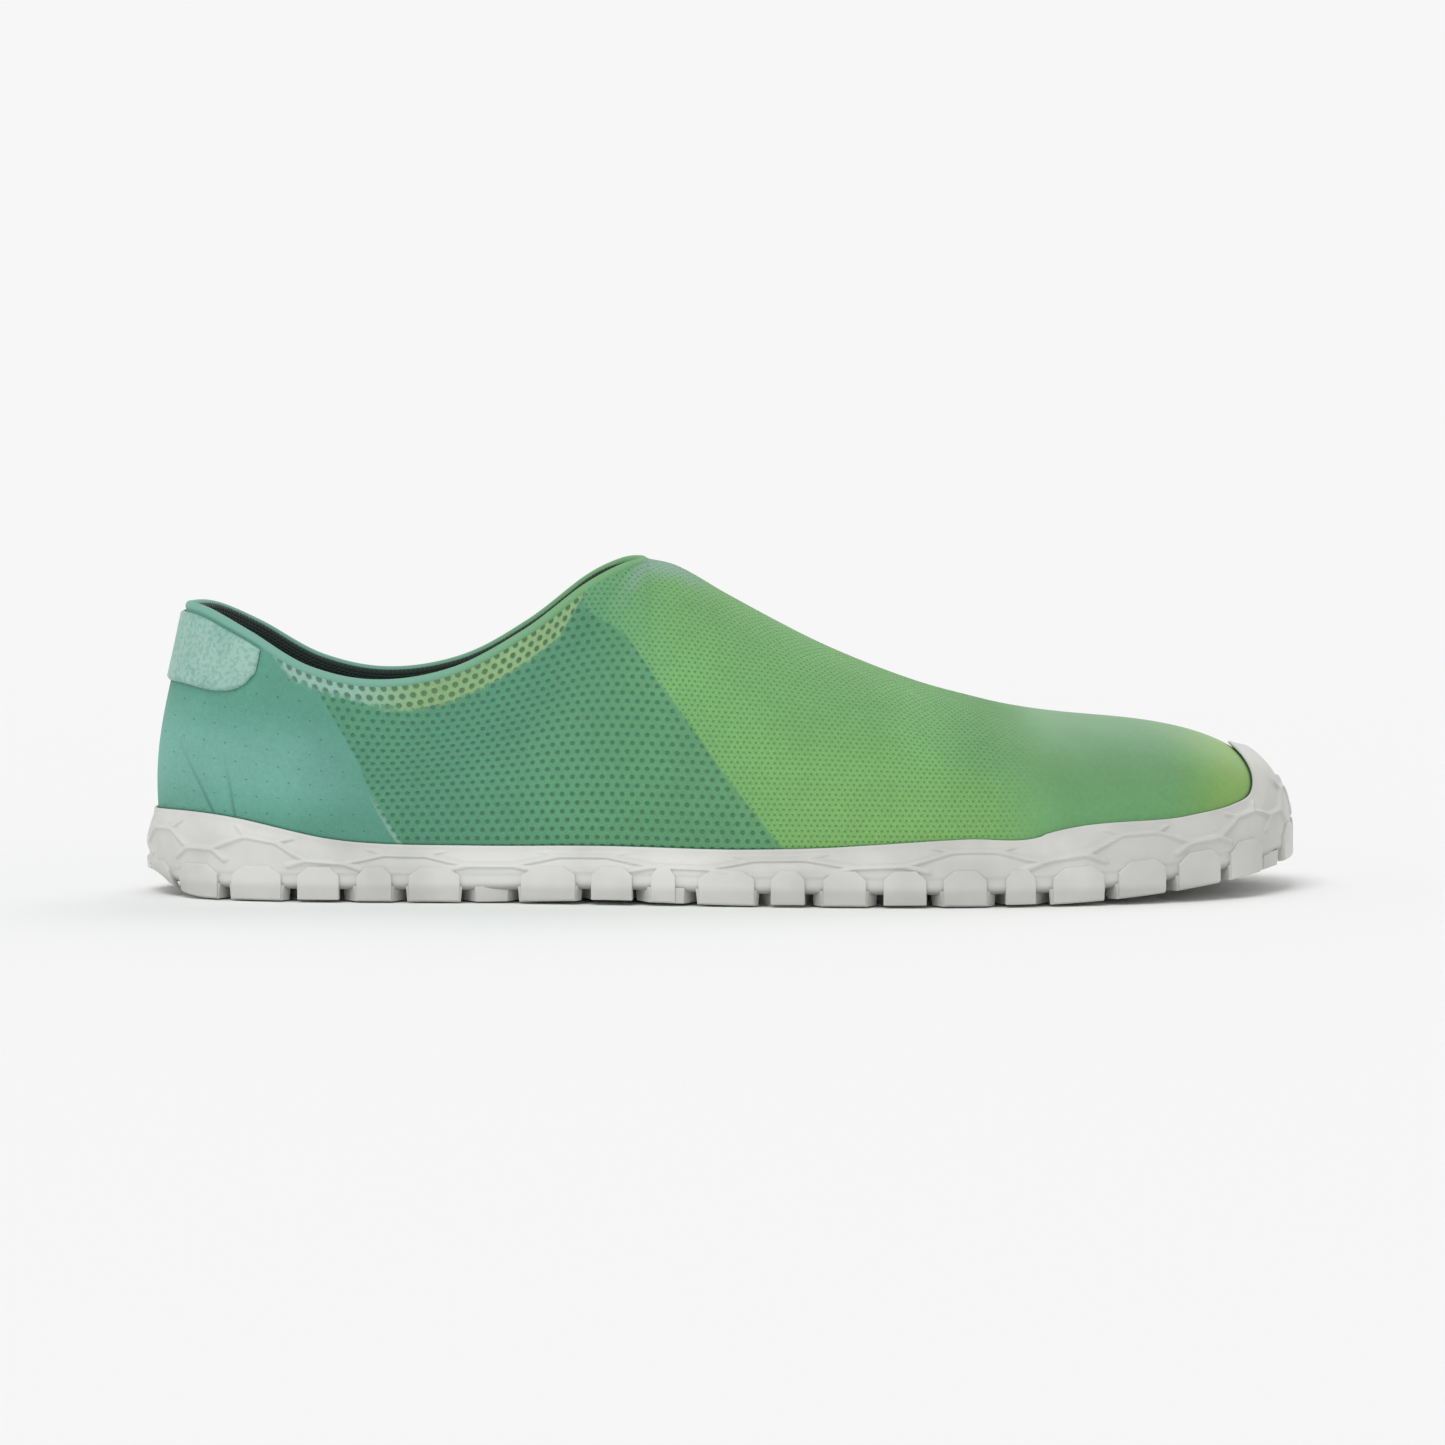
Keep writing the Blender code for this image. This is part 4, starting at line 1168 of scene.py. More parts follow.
@dataclass
class Sole:
    """Moulded rubber cup sole with its rib, lugs and side blocks."""

    last: Last
    material: bpy.types.Material
    groove: bpy.types.Material
    lip_thickness: float = 0.0017
    feather: float = 0.0045
    feather_share: float = 0.42
    edge_round: float = 0.0012
    lug_side: float = 0.0090
    lug_gap: float = 0.0026
    lug_proud: float = 0.0004
    lug_bury: float = 0.0010
    lug_relief: float = 0.0004
    lug_draft: float = 0.95
    lug_bevel: float = 0.00035
    lug_edge: float = 35.0
    lug_sharp: float = 40.0
    least_lug_share: float = 0.22
    whole_lug_share: float = 0.98
    stances: tuple = ((0.06, 0.281), (0.52, 0.735))
    block_proud: float = 0.0009
    block_bury: float = 0.0010
    block_foot: float = 0.0007
    block_top: float = 0.0082
    block_length_least: float = 0.0040
    block_set_back: float = 0.0005
    block_bevel: float = 0.00045
    block_edge: float = 40.0
    block_sharp: float = 50.0
    block_sections: int = 17
    block_corner: float = 0.24
    block_corner_top: float = 0.30
    rib_width: float = 0.0006
    rib_slope: float = 0.0005
    rib_height: float = 0.0006
    rib_step: float = 0.00025
    rib_low: float = 0.46
    rib_high: float = 0.76
    rib_clear_foot: float = 0.0006
    rib_clear_lip: float = 0.0004
    rib_fade_foot: float = 0.0010
    rib_fade_lip: float = 0.0012
    spur_share: float = 0.55
    trial_step: float = 0.02
    fineness: int = 14
    wall_rows: int = 52
    floor_rows: int = 3
    corner_rows: int = 4
    lip_rows: int = 6
    inner_rows: int = 10

    def wall(self, steps: np.ndarray, lip: np.ndarray, share: float, proud: Any = 0.0) -> np.ndarray:
        """Outside of the wall, at a share of the way from the edge of the floor to the lip."""
        thick = self.last.sole_wall + (self.lip_thickness - self.last.sole_wall) * share
        to_lip = self.last.lip_reach(steps) * (1 - share) / self.feather
        thick = thick * (self.feather_share + (1 - self.feather_share) * ease(to_lip))
        return self.last.off(steps, lip * share, self.last.fit + thick + proud)

    def rib_relief(self, steps: np.ndarray, share: float, spacing: np.ndarray) -> np.ndarray:
        """Height of the hexagon ribs on the wall.

        Args:
            steps: Steps round the edge.
            share: Share of the way up the wall.
            spacing: Metres to a step at each place.

        Returns:
            How far the wall stands proud there.
        """
        height = self.last.lip_reach(steps)
        ribbed = np.minimum(height, self.last.heel_lip)
        low, high = self.rib_low * ribbed, self.rib_high * ribbed
        level = share * height
        turn = np.mod(steps, 4)
        amplitude = high - low
        nearest = np.full(steps.shape, 1.0)
        lines = (
            # start turn, start above low, end turn, end above low
            (0.0, 0.0, 1.0, 0.0),
            (1.0, 0.0, 2.0, 1.0),
            (2.0, 1.0, 3.0, 1.0),
            (3.0, 1.0, 4.0, 0.0),
            (1.0, 0.0, 1.5, -self.spur_share),
            (4.0, 0.0, 3.5, -self.spur_share),
            (2.0, 1.0, 1.6, 1.0 + self.spur_share),
            (3.0, 1.0, 3.4, 1.0 + self.spur_share),
        )
        for start, start_height, end, end_height in lines:
            for around in (-4.0, 0.0, 4.0):
                ax, ay = (start + around - turn) * spacing, low + start_height * amplitude - level
                dx, dy = (end - start) * spacing, (end_height - start_height) * amplitude
                along = np.clip(-(ax * dx + ay * dy) / np.maximum(dx * dx + dy * dy, 1e-12), 0, 1)
                nearest = np.minimum(nearest, np.hypot(ax + dx * along, ay + dy * along))
        zigzag = low + amplitude * np.clip(1.5 - np.abs(turn - 2.5), 0, 1)
        fade = ease((level - self.rib_clear_foot) / self.rib_fade_foot)
        fade *= ease((height - level - self.rib_clear_lip) / self.rib_fade_lip)
        rib = ease((self.rib_width / 2 + self.rib_slope - nearest) / self.rib_slope)
        below = ease((zigzag - level) / self.rib_slope + 0.5)
        return (self.rib_height * rib + self.rib_step * below) * fade

    def make_body(self) -> bpy.types.Object:
        """Base, wall, lip and floor as one closed skin."""
        last = self.last
        steps = np.arange(0, 2 * last.steps, 1 / self.fineness)
        corner, _ = last.edge(steps)
        spacing = np.linalg.norm(np.roll(corner, -1, axis=0) - np.roll(corner, 1, axis=0), axis=1)
        spacing *= self.fineness / 2
        lip, _ = last.climb_at(steps, last.lip_reach(steps))
        bottom = at_level(last.edge(steps, -self.edge_round)[0], last.lug_depth)
        rings = last.floor_rings(bottom, self.floor_rows) + [bottom]
        for i in range(1, self.corner_rows + 1):
            angle = math.pi / 2 * i / self.corner_rows
            inset = self.edge_round * (1 - math.sin(angle))
            level = last.lug_depth + self.edge_round * (1 - math.cos(angle))
            rings.append(at_level(last.edge(steps, -inset)[0], level))
        for i in range(self.wall_rows + 1):
            share = i / self.wall_rows
            rings.append(self.wall(steps, lip, share, self.rib_relief(steps, share, spacing)))
        outer, inner = rings[-1], last.off(steps, lip, last.fit)
        rise = unit(last.surface(steps, lip + NUDGE) - last.surface(steps, lip))
        middle, half = (outer + inner) / 2, (outer - inner) / 2
        for i in range(1, self.lip_rows):
            angle = math.pi * i / self.lip_rows
            rings.append(middle + half * math.cos(angle) + rise * self.edge_round / 2 * math.sin(angle))
        shares = np.arange(self.inner_rows, -1, -1) / self.inner_rows
        inside = [last.off(steps, lip * share, last.fit) for share in shares]
        inside[-1][:, 2] = last.floor
        rings += inside + last.floor_rings(inside[-1], self.floor_rows)[::-1]
        count = len(steps)
        faces = [f for i in range(len(rings) - 1) for f in ring_faces(count, i * count, (i + 1) * count)]
        flat = np.concatenate(rings)
        made = new_object("sole_cup", last.settle(flat, True), faces)
        write_uv(made, "flat", flat[:, [2, 0]])
        closed_up(made)
        dressed(made, [self.groove], "sole_rubber", "outsole")
        return made

    def hexagon(self, centre: np.ndarray) -> list[np.ndarray]:
        """Corners of one lug, its flat sides along the shoe."""
        radius = self.lug_side - self.lug_gap / math.sqrt(3)
        return [centre + radius * np.array([math.cos(a), math.sin(a)]) for a in np.arange(6) * math.pi / 3]

    def clip(self, border: np.ndarray, corners: list[np.ndarray]) -> list[np.ndarray]:
        """Part of the border inside the hexagon, cut by one side of it after another."""
        kept = list(border)
        for a, b in zip(corners, corners[1:] + corners[:1]):
            inward = np.array([a[1] - b[1], b[0] - a[0]])
            depth = [float(np.dot(p - a, inward)) for p in kept]
            cut = []
            for i, p in enumerate(kept):
                q, dp, dq = kept[(i + 1) % len(kept)], depth[i], depth[(i + 1) % len(kept)]
                if dp >= 0:
                    cut.append(p)
                if (dp >= 0) != (dq >= 0):
                    cut.append(p + (q - p) * dp / (dp - dq))
            kept = cut
            if not kept:
                break
        return kept

    def area(self, corners: Sequence[np.ndarray]) -> float:
        """Area inside corners that run anticlockwise."""
        x, y = np.array(corners).T
        return 0.5 * float(np.dot(x, np.roll(y, -1)) - np.dot(y, np.roll(x, -1)))

    def stands(self, foot: Sequence[np.ndarray]) -> bool:
        """Whether a lug bears on the floor: a whole one under the heel or the ball."""
        shares = [p[0] / self.last.sole_length for p in foot]
        whole = self.area(foot) > self.whole_lug_share * self.area(self.hexagon(np.zeros(2)))
        return whole and any(low < min(shares) and max(shares) < high for low, high in self.stances)

    def lug_centres(self) -> Iterable[np.ndarray]:
        """Honeycomb of lug centres that covers the sole."""
        pitch_x, pitch_y = 1.5 * self.lug_side, math.sqrt(3) * self.lug_side
        columns = int(self.last.sole_length / pitch_x) + 2
        rows = int(self.last.ball_width / 2 / pitch_y) + 2
        for i in range(columns):
            for j in range(-rows, rows + 1):
                yield np.array([i * pitch_x, (j + 0.5 * (i % 2)) * pitch_y])

    def make_lugs(self) -> bpy.types.Object:
        """Hexagonal lugs: flat footprints that a node tree draws out to tapered lugs."""
        border, _ = self.last.edge(np.arange(0, 2 * self.last.steps, 0.25), self.lug_proud)
        border = border if self.area(border) > 0 else border[::-1]
        least = self.least_lug_share * self.area(self.hexagon(np.zeros(2)))
        vertices, faces, depths = [], [], []
        for centre in self.lug_centres():
            foot = self.clip(border, self.hexagon(centre))
            if len(foot) < 3 or self.area(foot) < least:
                continue
            faces.append(tuple(range(len(vertices) + len(foot) - 1, len(vertices) - 1, -1)))
            vertices += [(p[0], p[1], self.last.lug_depth + self.lug_bury) for p in foot]
            relief = 0.0 if self.stands(foot) else self.lug_relief
            depths.append(self.last.lug_depth + self.lug_bury - relief)
        made = new_object("sole_lugs", np.array(vertices), faces)
        made.data.attributes.new("depth", "FLOAT", "FACE").data.foreach_set("value", depths)
        tree = NodeTree("drawn_lugs")
        draft = tree.size("Draft", self.lug_draft)
        depth = tree.node("GeometryNodeInputNamedAttribute", {"data_type": "FLOAT"}, {"Name": "depth"})
        drawn = tree.node(
            "GeometryNodeExtrudeMesh",
            {"mode": "FACES"},
            {
                "Mesh": tree.entry.outputs[0],
                "Offset Scale": depth.outputs["Attribute"],
                "Individual": True,
            },
        )
        tapered = tree.node(
            "GeometryNodeScaleElements",
            {"domain": "FACE"},
            {"Geometry": drawn.outputs["Mesh"], "Selection": drawn.outputs["Top"], "Scale": draft},
        )
        tree.run(made, tapered.outputs[0], self.material)
        bevelled(made, self.lug_bevel, 2, self.lug_edge)
        moved(made, lambda points: self.last.settle(points, True))
        dressed(made, [self.material], "sole_rubber", "outsole", sharp=self.lug_sharp)
        return made

    def block_spans(self) -> Iterable[tuple[float, float]]:
        """Stretches of the edge, in steps, where a lug reaches it and so climbs the wall as a block."""
        fine = np.arange(0, 2 * self.last.steps, self.trial_step)
        border, _ = self.last.edge(fine, self.lug_proud)
        spacing = np.linalg.norm(np.roll(border, -1, axis=0) - border, axis=1)
        for centre in self.lug_centres():
            corners = np.array(self.hexagon(centre))
            sides = np.roll(corners, -1, axis=0) - corners
            inward = np.stack([-sides[:, 1], sides[:, 0]], axis=1)
            inside = np.all(((border[:, None] - corners[None]) * inward[None]).sum(-1) > 0, axis=1)
            for start in np.flatnonzero(inside & ~np.roll(inside, 1)):
                run = int(np.argmin(np.roll(inside, -start)))
                if spacing[(start + np.arange(run)) % len(fine)].sum() < self.block_length_least:
                    continue
                trim = self.block_set_back / spacing[start] * self.trial_step
                yield fine[start] + trim, fine[start] + run * self.trial_step - trim

    def make_blocks(self) -> bpy.types.Object:
        """Blocks on the wall above the edge lugs, each a short curved bar let into the wall."""
        last = self.last
        along = np.linspace(0, 1, self.block_sections)
        to_end = np.minimum(along, 1 - along) / self.block_corner
        tops = self.block_corner_top + (1 - self.block_corner_top) * np.minimum(to_end, 1)
        vertices: list[np.ndarray] = []
        faces: list[tuple] = []
        for start, end in self.block_spans():
            steps = start + (end - start) * along
            plan, normal = last.edge(steps)
            base, out = at_level(plan, self.block_foot), at_level(normal, 0.0)
            lip, _ = last.climb_at(steps, last.lip_reach(steps))
            share = (self.block_top - last.floor) * tops / last.lip_reach(steps)
            sections = []
            for proud in (self.block_proud, -self.block_bury):
                middle = self.wall(steps, lip, 0.0)
                middle[:, 2] = last.edge_level
                upper = self.wall(steps, lip, share, proud)
                sections.append([base + out * proud, middle + out * proud, upper])
            loop = sections[0] + sections[1][::-1]
            first, count = len(vertices), len(loop)
            final = first + (self.block_sections - 1) * count
            vertices += [ring[i] for i in range(self.block_sections) for ring in loop]
            for i in range(self.block_sections - 1):
                faces += ring_faces(count, first + i * count, first + (i + 1) * count)
            faces += [tuple(range(first, first + count)), tuple(range(final, final + count))]
        made = new_object("sole_blocks", np.array(vertices), faces)
        closed_up(made)
        bevelled(made, self.block_bevel, 3, self.block_edge)
        moved(made, lambda points: last.settle(points, True))
        dressed(made, [self.material], "sole_rubber", "outsole", sharp=self.block_sharp)
        return made


@dataclass(frozen=True)
class Crease:
    """A soft trough in the upper between two places, with a low ridge on each side.

    A place is the share of the side from heel to toe and the climb. The sizes are in metres.
    """

    start: tuple[float, float]
    end: tuple[float, float]
    depth: float
    width: float
    sides: tuple[Side, ...] = (Side.LATERAL, Side.MEDIAL)
    taper: float = 0.6
    ridge_away: float = 2.1
    ridge_share: float = 0.35


CREASES = (
    Crease((0.60, 0.35), (0.64, 0.88), 0.0006, 0.0050),
    Crease((0.66, 0.40), (0.69, 0.90), 0.0005, 0.0045),
    Crease((0.54, 0.50), (0.57, 0.90), 0.0004, 0.0055),
    Crease((0.30, 0.55), (0.38, 0.35), 0.0007, 0.0050),
    Crease((0.36, 0.80), (0.44, 0.60), 0.0007, 0.0055),
    Crease((0.12, 0.34), (0.24, 0.60), 0.0005, 0.0045),
    Crease((0.04, 0.72), (0.13, 0.66), 0.0004, 0.0040),
)


@dataclass
class Upper:
    """The knitted upper with its lining, one closed wall."""

    last: Last
    outside: bpy.types.Material
    lining: bpy.types.Material
    fineness: int = 8
    cup_rows: int = 10
    free_rows: int = 74
    inner_every: int = 3
    rim_rows: int = 6
    crease_samples: int = 14
    plain_at_lip: float = 0.001
    clear_of_lip: float = 0.004

    def crease_depth(self, steps: np.ndarray, climbs: np.ndarray, places: np.ndarray) -> np.ndarray:
        """How far the creases draw the wall in, at places on the surface."""
        last = self.last
        side_steps, lateral = last.fold(steps)
        depth = np.zeros(len(places))
        for crease in CREASES:
            for side in crease.sides:
                ends = np.array([crease.start, crease.end])
                line = ends[0] + (ends[1] - ends[0]) * np.linspace(0, 1, self.crease_samples)[:, None]
                line_steps = line[:, 0] * last.steps
                if side is Side.MEDIAL:
                    line_steps = 2 * last.steps - line_steps
                path = last.surface(line_steps, line[:, 1])
                near = np.full(len(places), 1.0)
                taper = np.zeros(len(places))
                for i in range(len(path) - 1):
                    a, d = path[i], path[i + 1] - path[i]
                    t = np.clip(((places - a) @ d) / (d @ d), 0, 1)
                    gap = np.linalg.norm(places - a - t[:, None] * d, axis=1)
                    share = (i + t) / (len(path) - 1)
                    here = np.sin(math.pi * np.clip(share, 0.02, 0.98)) ** crease.taper
                    taper = np.where(gap < near, here, taper)
                    near = np.minimum(near, gap)
                trough = np.exp(-((near / crease.width) ** 2))
                ridge = np.exp(-((near / crease.width - crease.ridge_away) ** 2))
                depth += crease.depth * taper * (trough - crease.ridge_share * ridge)
        reach = np.linalg.norm(places - last.surface(steps, np.zeros(len(steps))), axis=1)
        return depth * ease((reach - last.lip_reach(steps) - self.plain_at_lip) / self.clear_of_lip)

    def make(self) -> bpy.types.Object:
        """Build the wall, its creases and its three UV maps."""
        last = self.last
        steps = np.arange(0, 2 * last.steps, 1 / self.fineness)
        side_steps, _ = last.fold(steps)
        count = len(steps)
        rows = last.rows(steps, self.cup_rows, self.free_rows)
        inner_rows = rows[:: self.inner_every]
        if inner_rows[-1] is not rows[-1]:
            inner_rows.append(rows[-1])
        at_collar = ease((last.throat_step - side_steps) / last.rim_fade_steps)
        _, length = last.climb_at(steps, 0.0)
        closed = side_steps >= last.throat_step
        fan = side_steps >= last.pole_step
        partner = -np.arange(count)

        def ring_at(row: np.ndarray, distance: Any) -> np.ndarray:
            places = last.surface(steps, row)
            away = last.normals(steps, row)
            drawn = self.crease_depth(steps, row, places)
            ring = places + away * (distance - drawn)[:, None]
            top = row >= 1
            mirrored = (ring + ring[partner]) / 2
            ring = np.where((top & closed)[:, None], mirrored, ring)
            if (top & fan).any():
                ring[top & fan] = ring[top & fan].mean(axis=0)
            return ring

        outer = [ring_at(row, np.zeros(count)) for row in rows]
        inner = []
        for row in inner_rows:
            in_band = ease(1 - (1 - row) * length / last.collar_band)
            thick = last.upper_wall + (last.rim_wall - last.upper_wall) * in_band * at_collar
            inner.append(ring_at(row, -thick))
        inner[0][:, 2] = last.edge_level
        half = (outer[-1] - inner[-1]) / 2
        rim = []
        for i in range(1, self.rim_rows):
            angle = math.pi * i / self.rim_rows
            lift = np.array([0, 0, last.rim_round]) * at_collar[:, None] * math.sin(angle)
            rim.append((outer[-1] + inner[-1]) / 2 + half * math.cos(angle) + lift)
        rings = outer + rim + inner[::-1]
        climbs = rows + [rows[-1]] * len(rim) + inner_rows[::-1]
        edge_run, top_run = self.run_round(0.0, steps), self.run_round(1.0, steps)
        lip = last.lip_reach(steps)
        maps: dict[str, list] = {"place": [], "rim": [], "side": []}
        for row in climbs:
            up = last.reach_at(steps, row)
            maps["place"].append(np.stack([side_steps / last.steps, row], axis=-1))
            maps["rim"].append(np.stack([edge_run * (1 - row) + top_run * row, length - up], axis=-1))
            maps["side"].append(np.stack([up, up - lip], axis=-1))
        behind = side_steps < last.throat_step
        open_steps = [k for k in range(count) if behind[k] or behind[(k + 1) % count]]
        faces, inside = [], []
        for i in range(len(rings)):
            over_rim = len(outer) - 1 <= i < len(outer) + len(rim)
            added = ring_faces(
                count, i * count, (i + 1) % len(rings) * count, open_steps if over_rim else None
            )
            faces += added
            inside += [int(i >= len(outer) + len(rim) - 2)] * len(added)
        made = new_object("knit_upper", last.settle(np.concatenate(rings)), faces)
        made.data.polygons.foreach_set("material_index", inside)
        for name, places in maps.items():
            write_uv(made, name, np.concatenate(places))
        closed_up(made)
        dressed(made, [self.outside, self.lining], "upper_knit", "upper")
        return made

    def run_round(self, climb: float, steps: np.ndarray) -> np.ndarray:
        """Distance round the shoe from the back of the heel, at one climb of the outer side."""
        fine = np.linspace(0, self.last.steps, self.last.outline_samples)
        run = path_run(self.last.surface(fine, np.full(fine.shape, climb)))
        return np.interp(self.last.fold(steps)[0], fine, run)


@dataclass
class CollarEdge:
    """Rolled knitted edge round the collar, a bead that follows the rim."""

    last: Last
    material: bpy.types.Material
    radius: float = 0.00115
    proud: float = 0.0003
    spacing: float = 0.0010
    sides: int = 20
    samples: int = 1200

    def make(self) -> bpy.types.Object:
        """Draw the bead along the rim with a node tree."""
        last = self.last
        fine = np.linspace(-last.throat_step, last.throat_step, self.samples + 1)[:-1]
        centre = last.surface(fine, np.ones(fine.shape))
        ahead = np.roll(centre, -1, axis=0) - np.roll(centre, 1, axis=0)
        outwards = unit(np.stack([ahead[:, 1], -ahead[:, 0], np.zeros(len(fine))], axis=-1))
        outwards *= np.sign(np.sum(outwards * (centre - centre.mean(axis=0)), axis=1))[:, None]
        set_in = self.radius - self.proud
        at_collar = ease((last.throat_step - np.abs(fine)) / last.rim_fade_steps)
        centre -= outwards * set_in
        centre[:, 2] += last.rim_round * at_collar - set_in
        edges = [(i, i + 1) for i in range(len(fine) - 1)] + [(len(fine) - 1, 0)]
        made = new_object("collar_edge", last.settle(centre), [])
        made.data.edges.add(len(edges))
        made.data.edges.foreach_set("vertices", np.array(edges).ravel())
        made.data.update()
        tree = NodeTree("collar_bead")
        radius = tree.size("Radius", self.radius)
        spacing = tree.size("Spacing", self.spacing)
        path = tree.node("GeometryNodeMeshToCurve", {}, {"Mesh": tree.entry.outputs[0]})
        even = tree.node(
            "GeometryNodeResampleCurve", {"mode": "LENGTH"}, {"Curve": path.outputs[0], "Length": spacing}
        )
        size = {"Resolution": self.sides, "Radius": radius}
        ring = tree.node("GeometryNodeCurvePrimitiveCircle", {"mode": "RADIUS"}, size)
        curves = {"Curve": even.outputs[0], "Profile Curve": ring.outputs["Curve"]}
        bead = tree.node("GeometryNodeCurveToMesh", {}, curves)
        tree.run(made, bead.outputs[0], self.material)
        closed_up(made)
        dressed(made, [self.material], "upper_knit")
        return made


@dataclass
class Insole:
    """Thin foam sheet inside the upper."""

    last: Last
    material: bpy.types.Material
    thickness: float = 0.0030
    clearance: float = 0.0004
    edge_round: float = 0.0008
    fineness: int = 5
    under_rows: int = 4
    edge_rows: int = 3
    top_rows: int = 8

    def make(self) -> bpy.types.Object:
        """Build the sheet with a rounded upper edge."""
        last = self.last
        steps = np.arange(0, 2 * last.steps, 1 / self.fineness)
        low, high = last.edge_level, last.edge_level + self.thickness

        def edge_at(level: float, inset: float) -> np.ndarray:
            climbs, _ = last.climb_at(steps, level - last.edge_level)
            ring = last.off(steps, climbs, -last.upper_wall - self.clearance - inset)
            ring[:, 2] = level
            return ring

        bottom = edge_at(low, 0.0)
        rings = last.floor_rings(bottom, self.under_rows) + [bottom]
        for i in range(self.edge_rows + 1):
            angle = math.pi / 2 * i / self.edge_rows
            level = high - self.edge_round * (1 - math.sin(angle))
            rings.append(edge_at(level, self.edge_round * (1 - math.cos(angle))))
        rings += last.floor_rings(rings[-1], self.top_rows)[::-1]
        count = len(steps)
        faces = [f for i in range(len(rings) - 1) for f in ring_faces(count, i * count, (i + 1) * count)]
        made = new_object("foam_insole", last.settle(np.concatenate(rings)), faces)
        closed_up(made)
        dressed(made, [self.material], "insole_foam", "insole")
        return made


@dataclass
class HeelPatch:
    """Thin patch over the back of the heel, square at the collar and round at its lower corners."""

    last: Last
    material: bpy.types.Material
    depth: float = 0.0165
    reach: float = 0.0360
    thickness: float = 0.0008
    below_rim: float = 0.0012
    corner_power: float = 3.2
    end_share: float = 0.35
    sharp: float = 60.0
    columns: int = 97
    rows: int = 25
    samples: int = 801
    edge_round: float = 0.0007

    def make(self) -> bpy.types.Object:
        """Build the patch as a closed, softly edged sheet."""
        last = self.last
        across, down = np.linspace(-1, 1, self.columns), np.linspace(0, 1, self.rows)
        fine = np.linspace(0, last.throat_step, self.samples)
        run = path_run(last.surface(fine, np.ones(fine.shape)))
        steps = np.interp(np.abs(across) * self.reach, run, fine) * np.where(across < 0, 1, -1)
        turned = np.maximum(1 - np.abs(across) ** self.corner_power, 0) ** (1 / self.corner_power)
        depth = self.depth * np.maximum(turned, self.end_share)
        _, length = last.climb_at(steps, 0.0)
        outside, inside = [], []
        for d in down:
            row, _ = last.climb_at(steps, length - self.below_rim - depth * d)
            to_side = (1 - np.abs(across)) * self.reach
            to_edge = np.minimum(np.minimum(depth * d, depth * (1 - d)), to_side)
            share = np.clip(to_edge / self.edge_round, 0, 1)
            thick = self.thickness * np.sqrt(np.clip(1 - (1 - share) ** 2, 0.02, 1))
            outside.append(last.settle(last.off(steps, row, last.fit + thick)))
            inside.append(last.settle(last.off(steps, row, last.fit)))
        loop = outside + inside[::-1]
        count = len(loop)
        vertices = np.stack(loop, axis=1).reshape(-1, 3)
        final = (self.columns - 1) * count
        faces = [f for i in range(self.columns - 1) for f in ring_faces(count, i * count, (i + 1) * count)]
        for start in (0, final):
            for j in range(self.rows - 1):
                faces.append((start + j, start + j + 1, start + count - 2 - j, start + count - 1 - j))
        made = new_object("heel_patch_film", vertices, faces)
        closed_up(made)
        dressed(made, [self.material], "patch_film", "heel_patch", sharp=self.sharp)
        return made


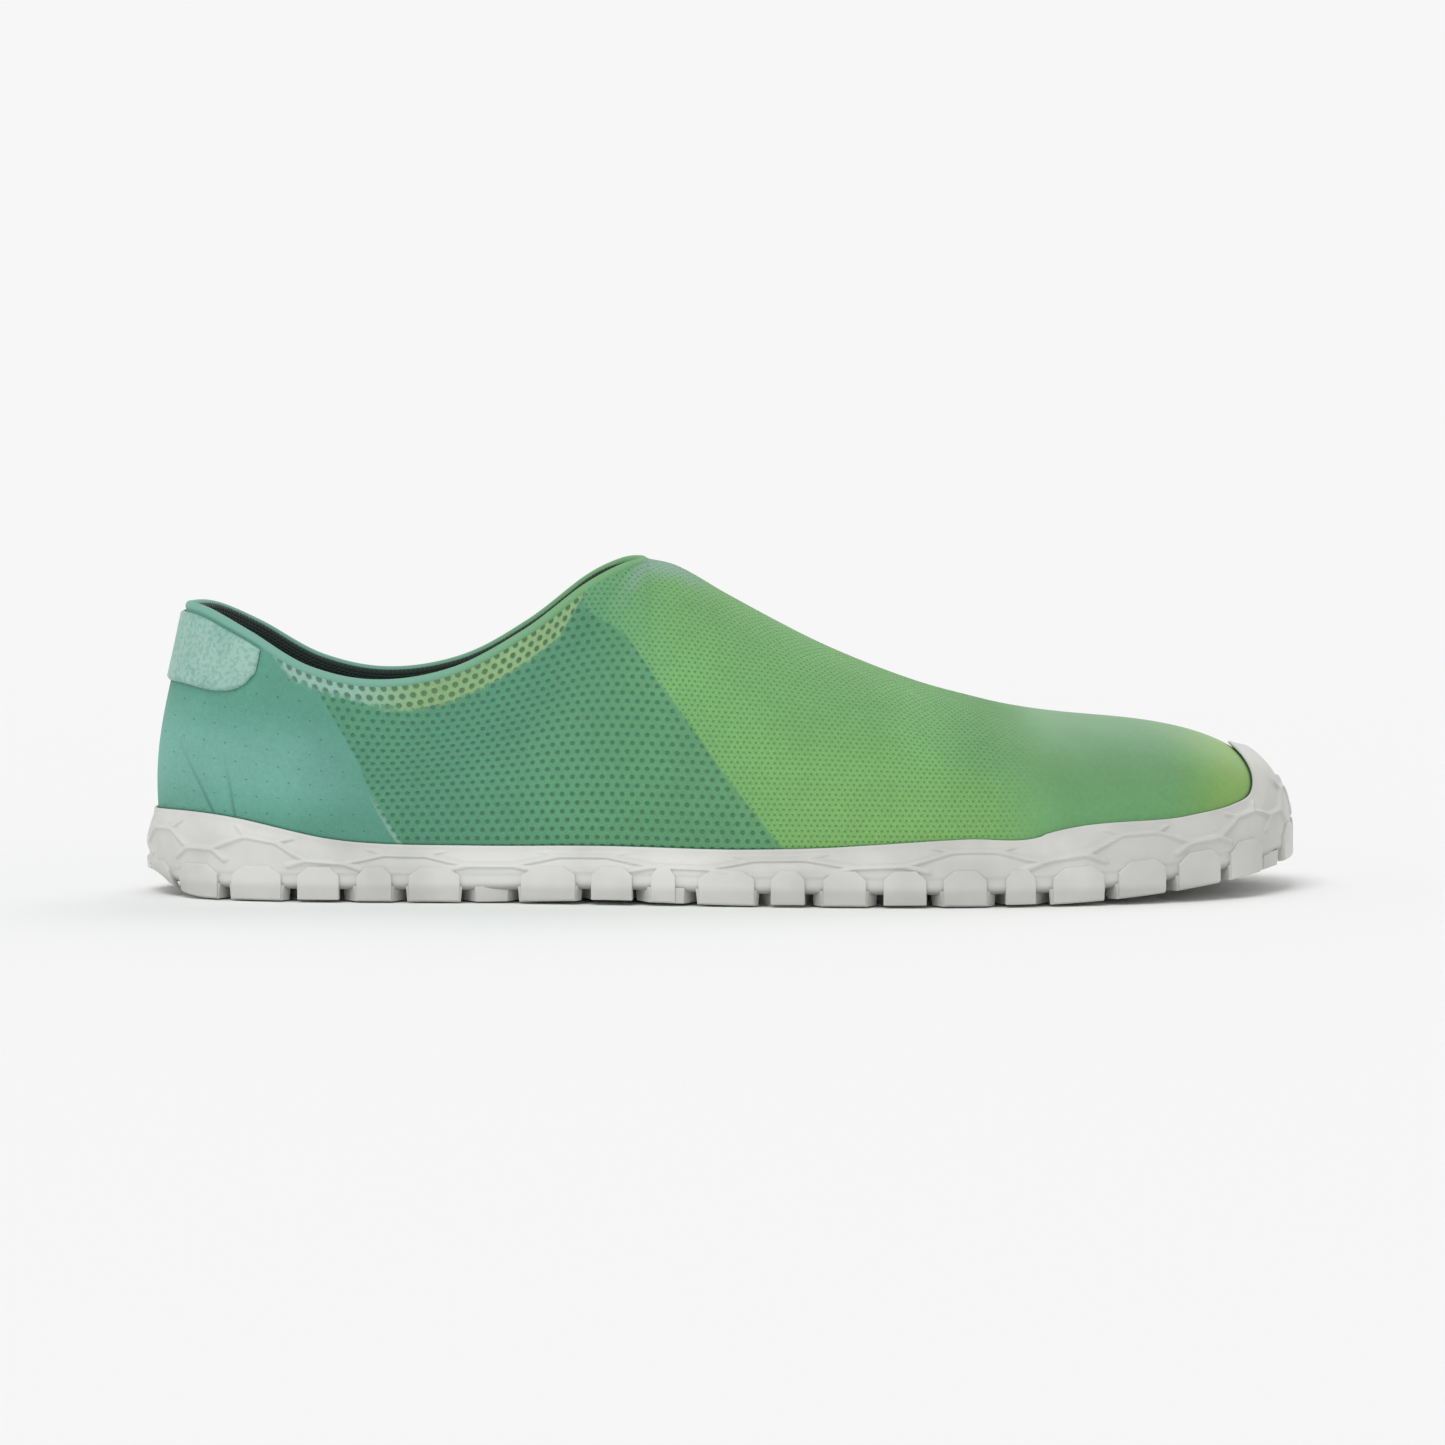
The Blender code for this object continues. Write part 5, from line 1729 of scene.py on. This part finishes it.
@dataclass
class Studio:
    """Pale floor, soft light from above and the camera at the photograph's angle."""

    floor_side: float = 12.0
    shoe_span: float = 1150.0
    distance: float = 1.7
    elevation: float = math.radians(3.5)
    sensor: float = 36.0
    horizon: float = 0.93
    zenith: float = 0.50
    horizon_top: float = 0.20
    zenith_from: float = 0.65
    suns: tuple = (
        # name, direction it comes from, angle across, strength
        ("key", (-0.25, -0.55, 1.00), math.radians(35), 1.15),
        ("back", (0.35, 0.90, 0.80), math.radians(40), 0.55),
    )

    def make(self) -> None:
        """Build the floor, the lights, the world and the camera."""
        half = self.floor_side / 2
        corners = np.array([(-half, -half, 0), (half, -half, 0), (half, half, 0), (-half, half, 0)])
        floor = new_object("floor", corners, [(0, 1, 2, 3)])
        floor.data.materials.append(FloorFinish().material())
        for name, place, angle, strength in self.suns:
            data = bpy.data.lights.new(name, "SUN")
            data.angle, data.energy = angle, strength
            light = bpy.data.objects.new(name, data)
            light.rotation_euler = self.looking(place, (0, 0, 0))
            bpy.context.scene.collection.objects.link(light)
        self.make_world()
        bpy.context.scene.view_settings.view_transform = "Standard"
        self.make_camera()

    def make_world(self) -> None:
        """Light tent: bright at the horizon, where the camera sees it, and dimmer overhead."""
        world = bpy.data.worlds.new("studio")
        world.use_nodes = True
        nodes, links = world.node_tree.nodes, world.node_tree.links
        place = nodes.new("ShaderNodeTexCoord")
        parts = nodes.new("ShaderNodeSeparateXYZ")
        fade = nodes.new("ShaderNodeMapRange")
        fade.interpolation_type = "SMOOTHSTEP"
        limits = (self.horizon_top, self.zenith_from, self.horizon, self.zenith)
        for number, value in enumerate(limits, 1):
            fade.inputs[number].default_value = value
        background = nodes["Background"]
        background.inputs["Color"].default_value = (1, 1, 1, 1)
        links.new(place.outputs["Generated"], parts.inputs[0])
        links.new(parts.outputs["Z"], fade.inputs[0])
        links.new(fade.outputs[0], background.inputs["Strength"])
        bpy.context.scene.world = world

    def looking(self, place: Sequence[float], aim: Sequence[float]) -> Any:
        """Rotation that points an object's -Z from place to aim."""
        return (Vector(aim) - Vector(place)).to_track_quat("-Z", "Y").to_euler()

    def make_camera(self) -> None:
        """Put the camera at the outer side, nearly level with the floor."""
        low, high = (np.array(corner) for corner in CAD_BOX)
        aim = (low + high) / 2
        frame_width = (high[0] - low[0]) * PHOTO_SIDE / self.shoe_span
        data = bpy.data.cameras.new("camera")
        data.sensor_width = self.sensor
        data.lens = self.sensor * self.distance / frame_width
        camera = bpy.data.objects.new("camera", data)
        back = np.array([0, -math.cos(self.elevation), math.sin(self.elevation)])
        camera.location = aim + back * self.distance
        camera.rotation_euler = self.looking(tuple(camera.location), tuple(aim))
        bpy.context.scene.collection.objects.link(camera)
        bpy.context.scene.camera = camera


@dataclass
class Shoe:
    """The whole shoe, with the places of its zones."""

    last: Last
    front_foot: float = 0.020
    front_top: float = -0.034
    rear_foot: float = -0.068
    rear_top: float = -0.096
    strip_change: float = -0.078
    strip_front_end: float = -0.035
    strip_rear_end: float = -0.101

    def share(self, x: float, climb: float) -> float:
        """Share of the side, from heel to toe, of a place with this x."""
        return self.last.step_at(x, climb) / self.last.steps

    def knit(self) -> bpy.types.Material:
        """Finish of the upper with its zones in place."""
        return KnitFinish(
            front_foot=self.share(self.front_foot, 0.1),
            front_top=self.share(self.front_top, 1.0),
            rear_foot=self.share(self.rear_foot, 0.1),
            rear_top=self.share(self.rear_top, 1.0),
            strip_change=self.share(self.strip_change, 1.0),
            strip_front_end=self.share(self.strip_front_end, 1.0),
            strip_rear_end=self.share(self.strip_rear_end, 1.0),
            throat=self.last.throat_step / self.last.steps,
            length=self.last.sole_length,
        ).material()

    def make(self) -> None:
        """Build every piece in order."""
        # the grooves between the lugs take much painted shade
        grooved = RubberFinish("sole_rubber_grooves", True, 0.95)
        sole = Sole(self.last, RubberFinish().material(), grooved.material())
        sole.make_body()
        sole.make_lugs()
        sole.make_blocks()
        Upper(self.last, self.knit(), LiningFinish().material()).make()
        CollarEdge(self.last, EdgeFinish().material()).make()
        Insole(self.last, FoamFinish().material()).make()
        HeelPatch(self.last, PatchFinish().material()).make()


def main() -> None:
    """Build the shoe and the studio."""
    logging.basicConfig(level=logging.INFO, format="%(message)s")
    Shoe(Last()).make()
    Studio().make()


if __name__ == "__main__":
    main()
